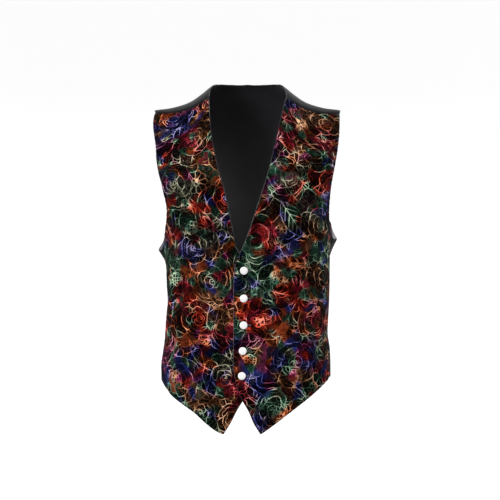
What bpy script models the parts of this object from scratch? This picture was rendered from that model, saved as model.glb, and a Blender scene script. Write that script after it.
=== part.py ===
"""A worn, buttoned waistcoat with no wearer in it: two patterned velvet fronts, a satin back and five buttons.

Metres, +Z up, the front faces -Y. The origin is where a wearer's shoulders carry it: level with the top of the
shoulders at the neck, midway between them, on the line of the shoulder ridge.

Every panel lies on one body form. A place on the form is a pair: the bearing round a level ring, in degrees
(0 at the wearer's left side, 90 at the middle, 180 at the right side), and the run, the distance down the cloth
from the shoulder ridge, negative down the front and positive down the back. Sizes in the tables are in
millimetres.
"""

import math

import bmesh
import bpy
import numpy as np

MM = 0.001

# Cloth walls, and the clearances between pieces
FRONT_WALL = 2.0
BACK_WALL = 1.6
SEAM_GAP = 0.8
SHOULDER_SEAM_GAP = (0.8, 1.7)
OVERLAP_GAP = 0.9
WELD = 0.02

# The closure
BUTTON_DIAMETER = 15.5
BUTTON_THICKNESS = 3.4
BUTTON_LIFT = 0.45
BUTTON_SIDES = 20

# Rows of faces in a panel, from the hem to the shoulder, and columns from its middle edge to its side
CUTAWAY_ROWS = 5
CENTRE_ROWS = 7
NECKLINE_ROWS = 17
FRONT_COLUMNS = 14
BACK_NECK_COLUMNS = 7
BACK_SHOULDER_COLUMNS = 7
UNDERARM_COLUMNS = 7

# The fronts' edges are tabled where someone this far in front of the shoulders sees them, facing this place
VIEW_DISTANCE = 3500.0
VIEW_ACROSS = 5.0
VIEW_HEIGHT = -328.0

SHOULDER_BLEND = (-190.0, -30.0)
OVERLAP_FADE = (12.0, 52.0)
FORM_MIDDLE = (0.0, 0.0, -300.0)

# About how long a degree of bearing is on the fronts, and at a side
DEGREE_LENGTH = 2.6
SIDE_DEGREE_LENGTH = 1.8

# How finely the profile is sampled, how often a tabled view's place is corrected, and how soon a fold fades out
PROFILE_SAMPLES = 1500
VIEW_ROUNDS = 8
FOLD_FADE = 0.8


def table(columns, rows):
    """A short table as a dictionary of columns."""
    return dict(zip(columns.split(), np.array(rows, float).T))


# The form's outline from the side, over the shoulder from the front hem to the back hem
PROFILE = table(
    "run depth height",
    [
        (-765, -119, -709),
        (-640, -113, -585),
        (-545, -110, -490),
        (-465, -112, -411),
        (-385, -119, -331),
        (-310, -123, -256),
        (-250, -121, -196),
        (-195, -113, -142),
        (-150, -101, -99),
        (-110, -84, -62),
        (-75, -64, -33),
        (-45, -42, -12),
        (-20, -19, -2),
        (0, 0, 0),
        (20, 20, -2),
        (45, 44, -10),
        (75, 69, -27),
        (110, 90, -55),
        (150, 106, -92),
        (200, 116, -141),
        (255, 119, -196),
        (315, 113, -256),
        (392, 99, -331),
        (473, 90, -411),
        (552, 95, -490),
        (648, 108, -585),
        (720, 114, -656),
    ],
)

# Half widths of the ring on the wearer's right and left, and how square the ring is
WIDTHS = table(
    "height right left square",
    [
        (-709, 168, 166, 2.3),
        (-640, 173, 169, 2.3),
        (-585, 176.5, 170, 2.3),
        (-558, 176.3, 169.8, 2.3),
        (-524, 171, 168, 2.3),
        (-500, 168.2, 164.2, 2.3),
        (-470, 166, 165.2, 2.3),
        (-435, 161.8, 167, 2.35),
        (-395, 163.7, 168, 2.4),
        (-350, 165.6, 168.4, 2.4),
        (-300, 168.8, 168.8, 2.5),
        (-270, 171.5, 171.5, 2.5),
        (-245, 175.5, 176.5, 2.5),
        (-200, 187, 187, 2.5),
        (-165, 198, 196, 2.5),
        (-115, 208, 204, 2.5),
        (-50, 214, 210, 2.5),
        (0, 216, 212, 2.5),
    ],
)

# Rise of the shoulder line above the level of the neck's sides
RIDGE = table(
    "across rise",
    [(0, 27), (40, 22), (60, 15), (75, 6), (95, -10), (112, -22), (150, -36), (190, -42), (225, -50)],
)

# Edges of the fronts as seen from the front: across is towards the wearer's left
LEFT_CUTAWAY = table(
    "across height",
    [(27, -705), (14.3, -685), (2, -657), (-10.2, -636), (-23.4, -598.6), (-28.7, -563.8)],
)
LEFT_CENTRE = table("across height", [(-28.7, -563.8), (-27.7, -471.5), (-27, -379), (-24.6, -356)])
LEFT_NECKLINE = table(
    "across height",
    [(-24.6, -356), (-11.3, -328), (5.5, -285), (24.2, -228.8), (43, -167.7), (61.9, -87.7), (80.8, -15)],
)
LEFT_ARMHOLE = table(
    "across height",
    [(167.7, -264), (167.6, -240), (170.7, -202), (176, -170), (184.3, -121), (188, -64), (187.6, -49)],
)
LEFT_HEM = table(
    "across height",
    [(27, -705), (39, -697), (63.5, -679), (88, -660), (112.7, -641), (137, -621), (150, -609)],
)
RIGHT_CUTAWAY = table(
    "across height",
    [(-50, -705), (-34.8, -680.6), (-22.5, -656.5), (-10.2, -636), (5, -598.6), (11.3, -563.8)],
)
RIGHT_CENTRE = table("across height", [(11.3, -563.8), (11.3, -471.5), (11.3, -379), (6, -358)])
RIGHT_NECKLINE = table(
    "across height",
    [(6, -358), (-20.5, -330), (-32.2, -285.4), (-46.3, -214.8), (-65.2, -144), (-76.9, -73.6), (-80.5, -16)],
)
RIGHT_ARMHOLE = table(
    "across height",
    [
        (-168.9, -286),
        (-166.5, -242),
        (-172, -212),
        (-182.7, -167.7),
        (-187.6, -116),
        (-192, -59.5),
        (-188.6, -47),
    ],
)
RIGHT_HEM = table(
    "across height",
    [(-50, -705), (-60, -701), (-84, -684), (-108, -662), (-133, -644), (-158, -623), (-170, -606)],
)

# Side seams from the hem up, by how far they lie behind the widest line
LEFT_SEAM = table("behind height", [(-30, -585), (-22, -525), (-12, -420), (-8, -345), (-6, -277)])
RIGHT_SEAM = table("behind height", [(12, -586), (12, -525), (10, -420), (9, -350), (9, -304)])

# The back, by half: its neckline from the middle outwards, and its armhole in two stretches, the lower one from
# the side seam's top round under the arm and the upper one on towards the shoulder seam
BACK_NECKLINE = table("across run", [(0, 50), (18, 49), (38, 42), (56, 27), (68, 3), (75, -22)])
LEFT_UNDERARM = table("behind height", [(7, -294), (21, -305), (38, -290), (52, -252)])
RIGHT_UNDERARM = table("behind height", [(20, -318), (33, -327), (49, -306), (58, -262)])
BACK_ARMHOLE = table("across run", [(177, 215), (181, 140), (187, 62), (189, 5)])
ARM_LEVEL_RUN = 315.0
BACK_HEM = table("bearing height", [(90, -604), (80, -604), (55, -600), (25, -589)])

# The loose corner under each arm, standing out sideways from the body
BULGES = table(
    "side height behind tall deep size",
    [(1, -306, 21, 36, 25, 17), (-1, -328, 33, 36, 25, 21)],
)
BULGE_FADE = (70.0, 140.0)

# Largest soft folds: a line on the form from top to bottom, by run and by distance across, with a half width
# and a height that is negative for a trough
FRONT_FOLDS = table(
    "top_across top_run low_across low_run wide rise",
    [
        (-150, -262, -128, -470, 20, -2.6),
        (-163, -330, -150, -600, 16, 2.2),
        (147, -280, 120, -420, 20, -2.2),
        (60, -500, 135, -560, 18, -1.6),
    ],
)
BACK_FOLDS = table(
    "top_across top_run low_across low_run wide rise",
    [
        (-120, 250, -62, 520, 26, -3.6),
        (118, 235, 70, 500, 26, -3.4),
        (-30, 330, -22, 560, 20, 2.4),
        (38, 350, 30, 590, 22, -2.6),
        (-150, 380, -118, 600, 18, 2.4),
    ],
)

# Buttons, from the top down
BUTTONS = table(
    "across height",
    [(-7.4, -370), (-7.8, -427), (-8.2, -482), (-10, -535), (-11.6, -586)],
)
# Half of a button's section, from the crown outwards and round, as shares of its radius and its thickness
BUTTON_SECTION = table(
    "out rise",
    [(0, 1), (0.4, 0.965), (0.75, 0.85), (0.93, 0.66), (1, 0.4), (0.9, 0.1), (0.7, 0), (0, 0)],
)

MATERIALS = {
    "velvet": ((0.055, 0.035, 0.045), 0.85, 0.0),
    "satin": ((0.012, 0.012, 0.016), 0.32, 0.0),
    "button": ((0.86, 0.85, 0.82), 0.25, 0.0),
}


def smooth(knots, values, at):
    """A smooth curve through the knots, with its slopes from the neighbours."""
    knots = np.asarray(knots, float)
    values = np.asarray(values, float)
    slopes = np.gradient(values, knots)
    at = np.clip(at, knots[0], knots[-1])
    i = np.clip(np.searchsorted(knots, at) - 1, 0, len(knots) - 2)
    width = knots[i + 1] - knots[i]
    t = (at - knots[i]) / width
    start = values[i] * (1 + 2 * t) * (1 - t) ** 2 + slopes[i] * width * t * (1 - t) ** 2
    end = values[i + 1] * t * t * (3 - 2 * t) + slopes[i + 1] * width * t * t * (t - 1)
    return start + end


def ease(low, high, at):
    """0 below low and 1 above high, with a soft change between."""
    t = np.clip((at - low) / (high - low), 0, 1)
    return t * t * (3 - 2 * t)


RUNS = np.linspace(PROFILE["run"][0], PROFILE["run"][-1], PROFILE_SAMPLES)
HEIGHTS = smooth(PROFILE["run"], PROFILE["height"], RUNS)


def profile(column, run):
    return smooth(PROFILE["run"], PROFILE[column], run)


def ring(column, height):
    return smooth(WIDTHS["height"], WIDTHS[column], height)


def shoulder_rise(across, height):
    """How far the shoulder line lifts a place of that nominal height."""
    return ease(*SHOULDER_BLEND, height) * smooth(RIDGE["across"], RIDGE["rise"], np.abs(across))


def run_at(height, side):
    """The run of a nominal height, on the back for side 1 and on the front for side -1."""
    chosen = RUNS * side >= 0
    order = np.argsort(HEIGHTS[chosen])
    return np.interp(height, HEIGHTS[chosen][order], RUNS[chosen][order])


def half_width(across, height):
    return np.where(np.asarray(across) < 0, ring("right", height), ring("left", height))


def bearing_of(across, run):
    """The bearing of a place at that distance across, on the sheet of that run."""
    height = profile("height", run)
    square = ring("square", height)
    x = np.clip(across / half_width(across, height), -0.9999, 0.9999)
    y = (1 - np.abs(x) ** square) ** (1 / square)
    return np.degrees(np.arctan2(y, x))


def place_in_view(across, height, side):
    """(bearing, run) of a place given as the front or back view shows it."""
    runs = RUNS[RUNS * side >= 0]
    shown = profile("height", runs) + shoulder_rise(across, profile("height", runs))
    order = np.argsort(shown)
    run = float(np.interp(height, shown[order], runs[order]))
    return float(bearing_of(across, run)), run


def place_seen(across, height):
    """(bearing, run) on the fronts of a place given where the tabled view shows it."""
    place = place_in_view(across, height, -1)
    for _ in range(VIEW_ROUNDS):
        nearness = 1 + form(*place)[1] / VIEW_DISTANCE
        x = VIEW_ACROSS + (across - VIEW_ACROSS) * nearness
        z = VIEW_HEIGHT + (height - VIEW_HEIGHT) * nearness
        place = place_in_view(x, z, -1)
    return place


def place_at_side(behind, height, left, side):
    """(bearing, run) near the side line, where behind is the depth past it. side is the sheet of the run."""
    run = float(run_at(height, side))
    depth = abs(float(profile("depth", run_at(height, 1 if behind > 0 else -1))))
    square = float(ring("square", height))
    y = min(abs(behind) / depth, 0.999)
    angle = math.degrees(math.atan2(y, (1 - y**square) ** (1 / square)))
    if np.sign(behind) != side:
        angle = -angle
    return (angle if left else 180 - angle), run


def form(bearing, run):
    """Points of the form, in millimetres. A bearing past a side goes on round the other sheet."""
    bearing, run = np.broadcast_arrays(np.asarray(bearing, float), np.asarray(run, float))
    past = (bearing < 0) | (bearing > 180)
    height = profile("height", run)
    across_run = np.where(run < 0, run_at(height, 1), run_at(height, -1))
    run = np.where(past, across_run, run)
    bearing = np.radians(np.where(bearing < 0, -bearing, np.where(bearing > 180, 360 - bearing, bearing)))
    square = ring("square", height)
    cos, sin = np.cos(bearing), np.sin(bearing)
    radius = (np.abs(cos) ** square + np.abs(sin) ** square) ** (-1 / square)
    x = half_width(cos, height) * radius * cos
    y = profile("depth", run) * radius * sin
    z = height + shoulder_rise(x, height)
    return np.stack([x, y, z], -1)


def fold_relief(folds, points, run):
    """Height of the soft folds at these points of the form."""
    relief = np.zeros(run.shape)
    for top_x, top_run, low_x, low_run, wide, rise in zip(*folds.values()):
        along = np.clip((run - top_run) / (low_run - top_run), 0, 1)
        centre = top_x + (low_x - top_x) * along
        across = (points[..., 0] - centre) / wide
        relief += rise * np.exp(-across * across) * np.sin(math.pi * along) ** FOLD_FADE
    return relief


def bulge(points):
    """Sideways shift of the loose corners under the arms."""
    shift = np.zeros(points.shape[:-1])
    for side, height, behind, tall, deep, size in zip(*BULGES.values()):
        near_z = np.clip(1 - np.abs(points[..., 2] - height) / tall, 0, 1)
        near_y = np.exp(-(((points[..., 1] - behind) / deep) ** 2))
        at_side = ease(*BULGE_FADE, points[..., 0] * side)
        shift += side * size * near_z * near_y * at_side
    return shift


def outer_surface(bearing, run, folds, lift):
    """The panel's outer side: the form, raised by its folds and by lift, which is a function of points."""
    step = 0.05
    points = form(bearing, run)
    along = form(bearing, run + step) - form(bearing, run - step)
    round_it = form(bearing + step, run) - form(bearing - step, run)
    normal = np.cross(along, round_it)
    normal /= np.linalg.norm(normal, axis=-1, keepdims=True)
    outward = np.sign(np.sum(normal * (points - FORM_MIDDLE), -1, keepdims=True))
    raised = points + normal * outward * (fold_relief(folds, points, run) + lift(points))[..., None]
    raised[..., 0] += bulge(points)
    return raised


def curve(places, count):
    """count + 1 places evenly along a smooth curve through the places."""
    places = np.array(places, float)
    steps = np.diff(places * [DEGREE_LENGTH, 1], axis=0)
    reach = np.concatenate([[0], np.cumsum(np.linalg.norm(steps, axis=1))])
    at = np.linspace(0, reach[-1], count + 1)
    return np.stack([smooth(reach, places[:, k], at) for k in (0, 1)], -1)


def seen(edge):
    return [place_seen(x, z) for x, z in zip(edge["across"], edge["height"])]


def beside(edge, left, side):
    return [place_at_side(y, z, left, side) for y, z in zip(edge["behind"], edge["height"])]


def on_back_sheet(places):
    """The same places of a side seam, named on the back's sheet."""
    bearing = np.where(places[:, 0] < 90, -places[:, 0], 360 - places[:, 0])
    return np.stack([bearing, run_at(profile("height", places[:, 1]), 1)], -1)


def joined(*curves):
    """Curves end to end, with each corner named once."""
    return np.concatenate([curves[0], *[c[1:] for c in curves[1:]]])


def patch(inner, outer, bottom, top):
    """A grid of places filled in from its four edges."""
    s = np.linspace(0, 1, len(bottom))[None, :, None]
    t = np.linspace(0, 1, len(inner))[:, None, None]
    across = (1 - s) * inner[:, None] + s * outer[:, None]
    along = (1 - t) * bottom[None] + t * top[None]
    corners = (
        (1 - s) * (1 - t) * inner[0] + s * (1 - t) * outer[0] + (1 - s) * t * inner[-1] + s * t * outer[-1]
    )
    return across + along - corners


def front_places(cutaway, centre, neckline, hem, seam, armhole, left):
    """The grid of a front, from its point at the hem to the shoulder seam."""
    inner = joined(
        curve(seen(cutaway), CUTAWAY_ROWS),
        curve(seen(centre), CENTRE_ROWS),
        curve(seen(neckline), NECKLINE_ROWS),
    )
    seam_places = beside(seam, left, -1)
    outer = joined(
        curve(seam_places, CUTAWAY_ROWS + CENTRE_ROWS),
        curve([seam_places[-1], *seen(armhole)], NECKLINE_ROWS),
    )
    bottom = curve([*seen(hem), seam_places[0]], FRONT_COLUMNS)
    top = np.linspace(inner[-1], outer[-1], FRONT_COLUMNS + 1)
    return patch(inner, outer, bottom, top)


def back_half_places(front, underarm, left):
    """The two grids of half of the back, from its middle outwards: below the arm's level, and above it."""
    side = 1 if left else -1
    seam_rows = CUTAWAY_ROWS + CENTRE_ROWS
    seam = on_back_sheet(front[: seam_rows + 1, -1])
    seam[:, 0] += side * SEAM_GAP / SIDE_DEGREE_LENGTH
    shoulder_ends = front[-1][[0, -1]] + [[0, gap] for gap in SHOULDER_SEAM_GAP]
    shoulder = np.linspace(*shoulder_ends, BACK_SHOULDER_COLUMNS + 1)

    hem = [(90 - side * (90 - b), float(run_at(z, 1))) for b, z in zip(*BACK_HEM.values())]
    neck = [(float(bearing_of(side * x, r)), r) for x, r in zip(*BACK_NECKLINE.values())]
    armhole = [(float(bearing_of(side * x, r)), r) for x, r in zip(*BACK_ARMHOLE.values())]
    under = curve([*beside(underarm, left, 1)[::-1], seam[-1]], UNDERARM_COLUMNS)
    middle = (90.0, ARM_LEVEL_RUN)

    inner_columns = BACK_NECK_COLUMNS + BACK_SHOULDER_COLUMNS
    level = np.linspace(middle, under[0], inner_columns + 1)
    lower = patch(
        curve([hem[0], middle], seam_rows),
        seam,
        curve([*hem, seam[0]], inner_columns + UNDERARM_COLUMNS),
        joined(level, under),
    )
    upper = patch(
        curve([middle, neck[0]], NECKLINE_ROWS),
        curve([under[0], *armhole, shoulder[-1]], NECKLINE_ROWS),
        level,
        joined(curve([*neck, shoulder[0]], BACK_NECK_COLUMNS), shoulder),
    )
    return lower, upper


def material(name):
    colour, roughness, metallic = MATERIALS[name]
    made = bpy.data.materials.new(name)
    made.use_nodes = True
    shader = made.node_tree.nodes["Principled BSDF"]
    shader.inputs["Base Color"].default_value = (*colour, 1)
    shader.inputs["Roughness"].default_value = roughness
    shader.inputs["Metallic"].default_value = metallic
    return made


def grid_mesh(bm, points):
    """A sheet of faces through a grid of points in millimetres."""
    vertices = [[bm.verts.new(p * MM) for p in row] for row in points]
    for low, high in zip(vertices, vertices[1:]):
        for a, b, c, d in zip(low, low[1:], high[1:], high):
            bm.faces.new((a, b, c, d))


def add_panel(name, grids, wall, finish, collection):
    """A panel from one or two grids that share an edge, thickened inwards."""
    bm = bmesh.new()
    for points in grids:
        grid_mesh(bm, points)
    bmesh.ops.remove_doubles(bm, verts=bm.verts, dist=WELD * MM)
    bmesh.ops.recalc_face_normals(bm, faces=bm.faces)
    probe = max(bm.faces, key=lambda f: abs(f.calc_center_median().y))
    if probe.normal.y * probe.calc_center_median().y < 0:
        bmesh.ops.reverse_faces(bm, faces=bm.faces)
    mesh = bpy.data.meshes.new(name)
    bm.to_mesh(mesh)
    bm.free()
    mesh.shade_smooth()
    panel = bpy.data.objects.new(name, mesh)
    collection.objects.link(panel)
    mesh.materials.append(finish)
    solid = panel.modifiers.new("wall", "SOLIDIFY")
    solid.thickness = wall * MM
    solid.offset = -1
    return panel


def overlap_lift(points):
    """The left front rises over the right one along the closure."""
    return (FRONT_WALL + OVERLAP_GAP) * (1 - ease(*OVERLAP_FADE, points[..., 0]))


def no_lift(points):
    return np.zeros(points.shape[:-1])


def add_button(name, across, height, finish, collection):
    """A turned, domed button on the left front's outer side."""
    bearing, run = place_seen(across, height)
    here = outer_surface(np.array(bearing), np.array(run), FRONT_FOLDS, overlap_lift)
    below = outer_surface(np.array(bearing), np.array(run - 1.0), FRONT_FOLDS, overlap_lift)
    down = (below - here) / np.linalg.norm(below - here)
    mesh = bpy.data.meshes.new(name)
    radius = BUTTON_DIAMETER / 2
    section = [(r * radius * MM, 0, h * BUTTON_THICKNESS * MM) for r, h in zip(*BUTTON_SECTION.values())]
    edges = [(i, i + 1) for i in range(len(section) - 1)]
    mesh.from_pydata(section, edges, [])
    button = bpy.data.objects.new(name, mesh)
    collection.objects.link(button)
    mesh.materials.append(finish)
    screw = button.modifiers.new("turned", "SCREW")
    screw.steps = screw.render_steps = BUTTON_SIDES
    screw.use_merge_vertices = True
    screw.merge_threshold = WELD * MM
    screw.use_smooth_shade = True
    tilt = math.atan2(-down[1], -down[2])
    button.rotation_euler = (math.pi / 2 - tilt, 0, 0)
    button.location = [v * MM for v in here + np.array([0, -BUTTON_LIFT, 0])]
    return button


def main():
    for old in list(bpy.data.objects):
        bpy.data.objects.remove(old)
    collection = bpy.data.collections.new("waistcoat")
    bpy.context.scene.collection.children.link(collection)
    velvet, satin, pearl = (material(name) for name in MATERIALS)

    left = front_places(LEFT_CUTAWAY, LEFT_CENTRE, LEFT_NECKLINE, LEFT_HEM, LEFT_SEAM, LEFT_ARMHOLE, True)
    right = front_places(
        RIGHT_CUTAWAY, RIGHT_CENTRE, RIGHT_NECKLINE, RIGHT_HEM, RIGHT_SEAM, RIGHT_ARMHOLE, False
    )
    for name, places, lift in (("front_left", left, overlap_lift), ("front_right", right, no_lift)):
        points = outer_surface(places[..., 0], places[..., 1], FRONT_FOLDS, lift)
        add_panel(name, [points], FRONT_WALL, velvet, collection)

    grids = []
    for front, underarm, is_left in ((left, LEFT_UNDERARM, True), (right, RIGHT_UNDERARM, False)):
        for places in back_half_places(front, underarm, is_left):
            grids.append(outer_surface(places[..., 0], places[..., 1], BACK_FOLDS, no_lift))
    add_panel("back", grids, BACK_WALL, satin, collection)

    for number, (across, height) in enumerate(zip(*BUTTONS.values()), 1):
        add_button(f"button_{number}", across, height, pearl, collection)


main()
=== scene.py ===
"""Looks of the buttoned waistcoat: patterned burnt-out velvet fronts, a black satin back, pearl buttons.

Metres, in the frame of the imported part. Sizes in the tables and in the names in capitals are in
millimetres, unless a comment says otherwise.

Every panel lies on one body form. A place on the form is a pair: the bearing round a level ring, in
degrees (0 at the wearer's left side, 90 at the middle, 180 at the right side), and the run, the distance
down the cloth from the shoulder ridge, negative down the front and positive down the back. A place on the
cut cloth is a pair too: across, from the middle towards the wearer's left, and the run. A sheet is a
panel's places in one list, its grids of indices into them, and its edge as a loop.
"""

import math

import bpy
import numpy as np
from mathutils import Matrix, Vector
from mathutils.kdtree import KDTree


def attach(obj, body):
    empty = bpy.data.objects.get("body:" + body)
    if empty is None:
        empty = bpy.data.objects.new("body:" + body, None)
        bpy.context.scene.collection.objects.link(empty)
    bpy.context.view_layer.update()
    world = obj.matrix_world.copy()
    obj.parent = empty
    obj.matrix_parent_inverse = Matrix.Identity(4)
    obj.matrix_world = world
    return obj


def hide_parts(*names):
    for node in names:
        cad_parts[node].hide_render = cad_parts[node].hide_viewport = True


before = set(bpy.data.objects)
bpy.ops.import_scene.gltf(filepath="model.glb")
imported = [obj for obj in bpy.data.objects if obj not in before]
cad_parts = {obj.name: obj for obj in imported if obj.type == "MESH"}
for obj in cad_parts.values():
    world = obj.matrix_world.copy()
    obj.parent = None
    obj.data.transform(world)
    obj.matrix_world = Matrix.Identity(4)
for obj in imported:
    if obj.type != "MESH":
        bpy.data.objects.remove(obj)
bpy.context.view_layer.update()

MM = 0.001
BODY = "root"

# Cloth walls, and the clearances between pieces
FRONT_WALL = 2.0
BACK_WALL = 1.6
OVERLAP_GAP = 0.9
SEAM_GAP = 0.1

# Rows of faces in a panel, from the hem to the shoulder, and columns from its middle edge to its side.
# The inner side has one row and one column for each INSIDE_STEP of the outer side
CUTAWAY_ROWS = 104
CENTRE_ROWS = 152
SEAM_ROWS = CUTAWAY_ROWS + CENTRE_ROWS
NECKLINE_ROWS = 264
FRONT_COLUMNS = 144
BACK_SEAM_ROWS = 128
BACK_UPPER_ROWS = 88
BACK_NECK_COLUMNS = 32
BACK_SHOULDER_COLUMNS = 40
UNDERARM_COLUMNS = 24
FRONT_INSIDE_STEP = 8
BACK_INSIDE_STEP = 4

# The fronts' edges are tabled where someone this far in front of the shoulders sees them, facing this
# place. The rounds bring a tabled place back onto the form
VIEW_DISTANCE = 3500.0
VIEW_ACROSS = 5.0
VIEW_HEIGHT = -328.0
VIEW_ROUNDS = 8

# Heights over which the ridge's rise sets in, and places across over which the overlap ends. Then how
# long a degree of bearing is, on the whole and at the sides, and a place in the middle of the form
SHOULDER_BLEND = (-190.0, -30.0)
OVERLAP_FADE = (12.0, 52.0)
DEGREE_LENGTH = 2.6
SIDE_DEGREE_LENGTH = 1.8
FORM_MIDDLE = (0, 0, -300)
# The furthest that a place may lie out, as a share of the form's half width and of its depth
WIDTH_LIMIT = 0.9999
DEPTH_LIMIT = 0.999
# The small step, in degrees and in millimetres, that finds the form's slopes
FORM_STEP = 0.05
# Where the form is measured: steps down its outline, and the bearings and runs of the cloth's coordinates
OUTLINE_STEPS = 1500
MEASURED_BEARINGS = (-40, 220, 521)
MEASURED_RUNS = 371


def table(columns, *rows):
    """A short table as a dictionary of columns."""
    return dict(zip(columns.split(), np.array(rows, float).T))


# The form's outline from the side, over the shoulder from the front hem to the back hem
PROFILE = table(
    "run depth height",
    (-765, -119, -709), (-640, -113, -585), (-545, -110, -490), (-465, -112, -411), (-385, -119, -331),
    (-310, -123, -256), (-250, -121, -196), (-195, -113, -142), (-150, -101, -99), (-110, -84, -62),
    (-75, -64, -33), (-45, -42, -12), (-20, -19, -2), (0, 0, 0), (20, 20, -2), (45, 44, -10), (75, 69, -27),
    (110, 90, -55), (150, 106, -92), (200, 116, -141), (255, 119, -196), (315, 113, -256), (392, 99, -331),
    (473, 90, -411), (552, 95, -490), (648, 108, -585), (720, 114, -656),
)

# Half widths of the ring on the wearer's right and left, and how square the ring is
WIDTHS = table(
    "height right left square",
    (-709, 168, 166, 2.3), (-640, 173, 169, 2.3), (-585, 176.5, 170, 2.3), (-558, 176.3, 169.8, 2.3),
    (-524, 171, 168, 2.3), (-500, 168.2, 164.2, 2.3), (-470, 166, 165.2, 2.3), (-435, 161.8, 167, 2.35),
    (-395, 163.7, 168, 2.4), (-350, 165.6, 168.4, 2.4), (-300, 168.8, 168.8, 2.5), (-270, 171.5, 171.5, 2.5),
    (-245, 175.5, 176.5, 2.5), (-200, 187, 187, 2.5), (-165, 198, 196, 2.5), (-115, 208, 204, 2.5),
    (-50, 214, 210, 2.5), (0, 216, 212, 2.5),
)

# Rise of the shoulder line above the level of the neck's sides
RIDGE = table(
    "across rise",
    (0, 27), (40, 22), (60, 15), (75, 6), (95, -10), (112, -22), (150, -36), (190, -42), (225, -50),
)

# Edges of each front as the tabled view shows them, as (across, height), with across towards the wearer's
# left. Then, as (behind, height), where behind is how far they lie behind the widest line: the side seam
# from the hem up, and the lower stretch of the back's armhole from the seam's top round under the arm
LEFT_EDGES = dict(
    cutaway=[(27, -705), (14.3, -685), (2, -657), (-10.2, -636), (-23.4, -598.6), (-28.7, -563.8)],
    centre=[(-28.7, -563.8), (-27.7, -471.5), (-27, -379), (-24.6, -356)],
    neckline=[
        (-24.6, -356), (-11.3, -328), (5.5, -285), (24.2, -228.8), (43, -167.7), (61.9, -87.7), (80.8, -15),
    ],
    armhole=[
        (167.7, -264), (167.6, -240), (170.7, -202), (176, -170), (184.3, -121), (188, -64), (187.6, -49),
    ],
    hem=[(27, -705), (39, -697), (63.5, -679), (88, -660), (112.7, -641), (137, -621), (150, -609)],
    seam=[(-30, -585), (-22, -525), (-12, -420), (-8, -345), (-6, -277)],
    underarm=[(7, -294), (21, -305), (38, -290), (52, -252)],
)
RIGHT_EDGES = dict(
    cutaway=[(-50, -705), (-34.8, -680.6), (-22.5, -656.5), (-10.2, -636), (5, -598.6), (11.3, -563.8)],
    centre=[(11.3, -563.8), (11.3, -471.5), (11.3, -379), (6, -358)],
    neckline=[
        (6, -358), (-20.5, -330), (-32.2, -285.4), (-46.3, -214.8), (-65.2, -144), (-76.9, -73.6),
        (-80.5, -16),
    ],
    armhole=[
        (-168.9, -286), (-166.5, -242), (-172, -212), (-182.7, -167.7), (-187.6, -116), (-192, -59.5),
        (-188.6, -47),
    ],
    hem=[(-50, -705), (-60, -701), (-84, -684), (-108, -662), (-133, -644), (-158, -623), (-170, -606)],
    seam=[(12, -586), (12, -525), (10, -420), (9, -350), (9, -304)],
    underarm=[(20, -318), (33, -327), (49, -306), (58, -262)],
)

# Each half of the back: its neckline from the middle outwards and the upper stretch of its armhole, as
# (across, run), and its hem, as (bearing, height)
BACK_NECKLINE = [(0, 50), (18, 49), (38, 42), (56, 27), (68, 3), (75, -22)]
BACK_ARMHOLE = [(177, 215), (181, 140), (187, 62), (189, 5)]
BACK_HEM = [(90, -604), (80, -604), (55, -600), (25, -589)]
ARM_LEVEL_RUN = 315.0

# The loose corner under each arm, standing out sideways: its side, its height, its distance behind the
# middle, its reach up and down and in depth, and its size
BULGES = [(1, -306, 21, 36, 25, 17), (-1, -328, 33, 36, 25, 21)]
BULGE_FADE = (70.0, 140.0)

# Largest soft folds, each a line on the form: across and run of its top and of its bottom, its half width,
# and its height, which is negative for a trough
FRONT_FOLDS = [
    (-150, -262, -128, -470, 20, -2.6), (-163, -330, -150, -600, 16, 2.2),
    (147, -280, 120, -420, 20, -2.2), (60, -500, 135, -560, 18, -1.6),
]
BACK_FOLDS = [
    (-120, 250, -62, 520, 26, -3.6), (118, 235, 70, 500, 26, -3.4), (-30, 330, -22, 560, 20, 2.4),
    (38, 350, 30, 590, 22, -2.6), (-150, 380, -118, 600, 18, 2.4),
]
FOLD_FADE = 0.8

# Lesser creases, given like folds but at any slant, and each bowed by a share of its length
FRONT_CREASES = [
    (-10, -402, -92, -376, 9, 1.0), (-8, -460, -70, -452, 8, -0.8), (2, -404, 78, -372, 9, 0.9),
    (0, -462, 66, -470, 9, -0.7), (2, -520, 84, -534, 10, 0.8), (-12, -572, -88, -590, 10, 0.8),
    (-168, -230, -104, -300, 9, 1.1), (-160, -262, -88, -350, 10, -1.1), (-120, -120, -96, -250, 12, 0.9),
    (118, -110, 92, -240, 12, -0.9), (168, -222, 108, -300, 9, 1.1), (158, -262, 84, -356, 11, -1.0),
    (150, -420, 128, -640, 12, 1.0), (96, -480, 70, -700, 13, -0.9), (-100, -500, -62, -700, 13, 0.9),
    (-134, -560, -96, -690, 10, -0.9), (-60, -90, -52, -230, 10, 0.7), (70, -100, 58, -230, 10, 0.7),
]
BACK_CREASES = [
    (-172, 240, -70, 330, 7, 2.4), (-160, 285, -60, 400, 7, -2.3), (-150, 200, -92, 268, 6, -1.7),
    (170, 236, 74, 322, 7, 2.2), (158, 290, 52, 392, 8, -2.4), (148, 190, 88, 270, 6, -1.8),
    (-60, 80, -40, 220, 9, 1.8), (56, 84, 44, 226, 10, 1.7), (-8, 90, 2, 300, 11, -1.5),
    (-112, 424, 40, 446, 7, 2.0), (-20, 452, 128, 430, 8, 2.1), (-88, 478, 70, 466, 7, -2.0),
    (-140, 470, -40, 512, 7, 1.8), (138, 460, 50, 504, 7, 1.7), (-96, 520, -84, 660, 9, 1.9),
    (104, 520, 90, 664, 9, -1.8), (2, 500, 8, 668, 10, 1.7), (-150, 60, -110, 170, 8, 1.6),
    (150, 64, 106, 176, 8, 1.5), (-58, 300, -30, 470, 8, -1.6), (84, 330, 66, 452, 8, 1.8),
]
CREASE_BOW = 0.05

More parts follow.
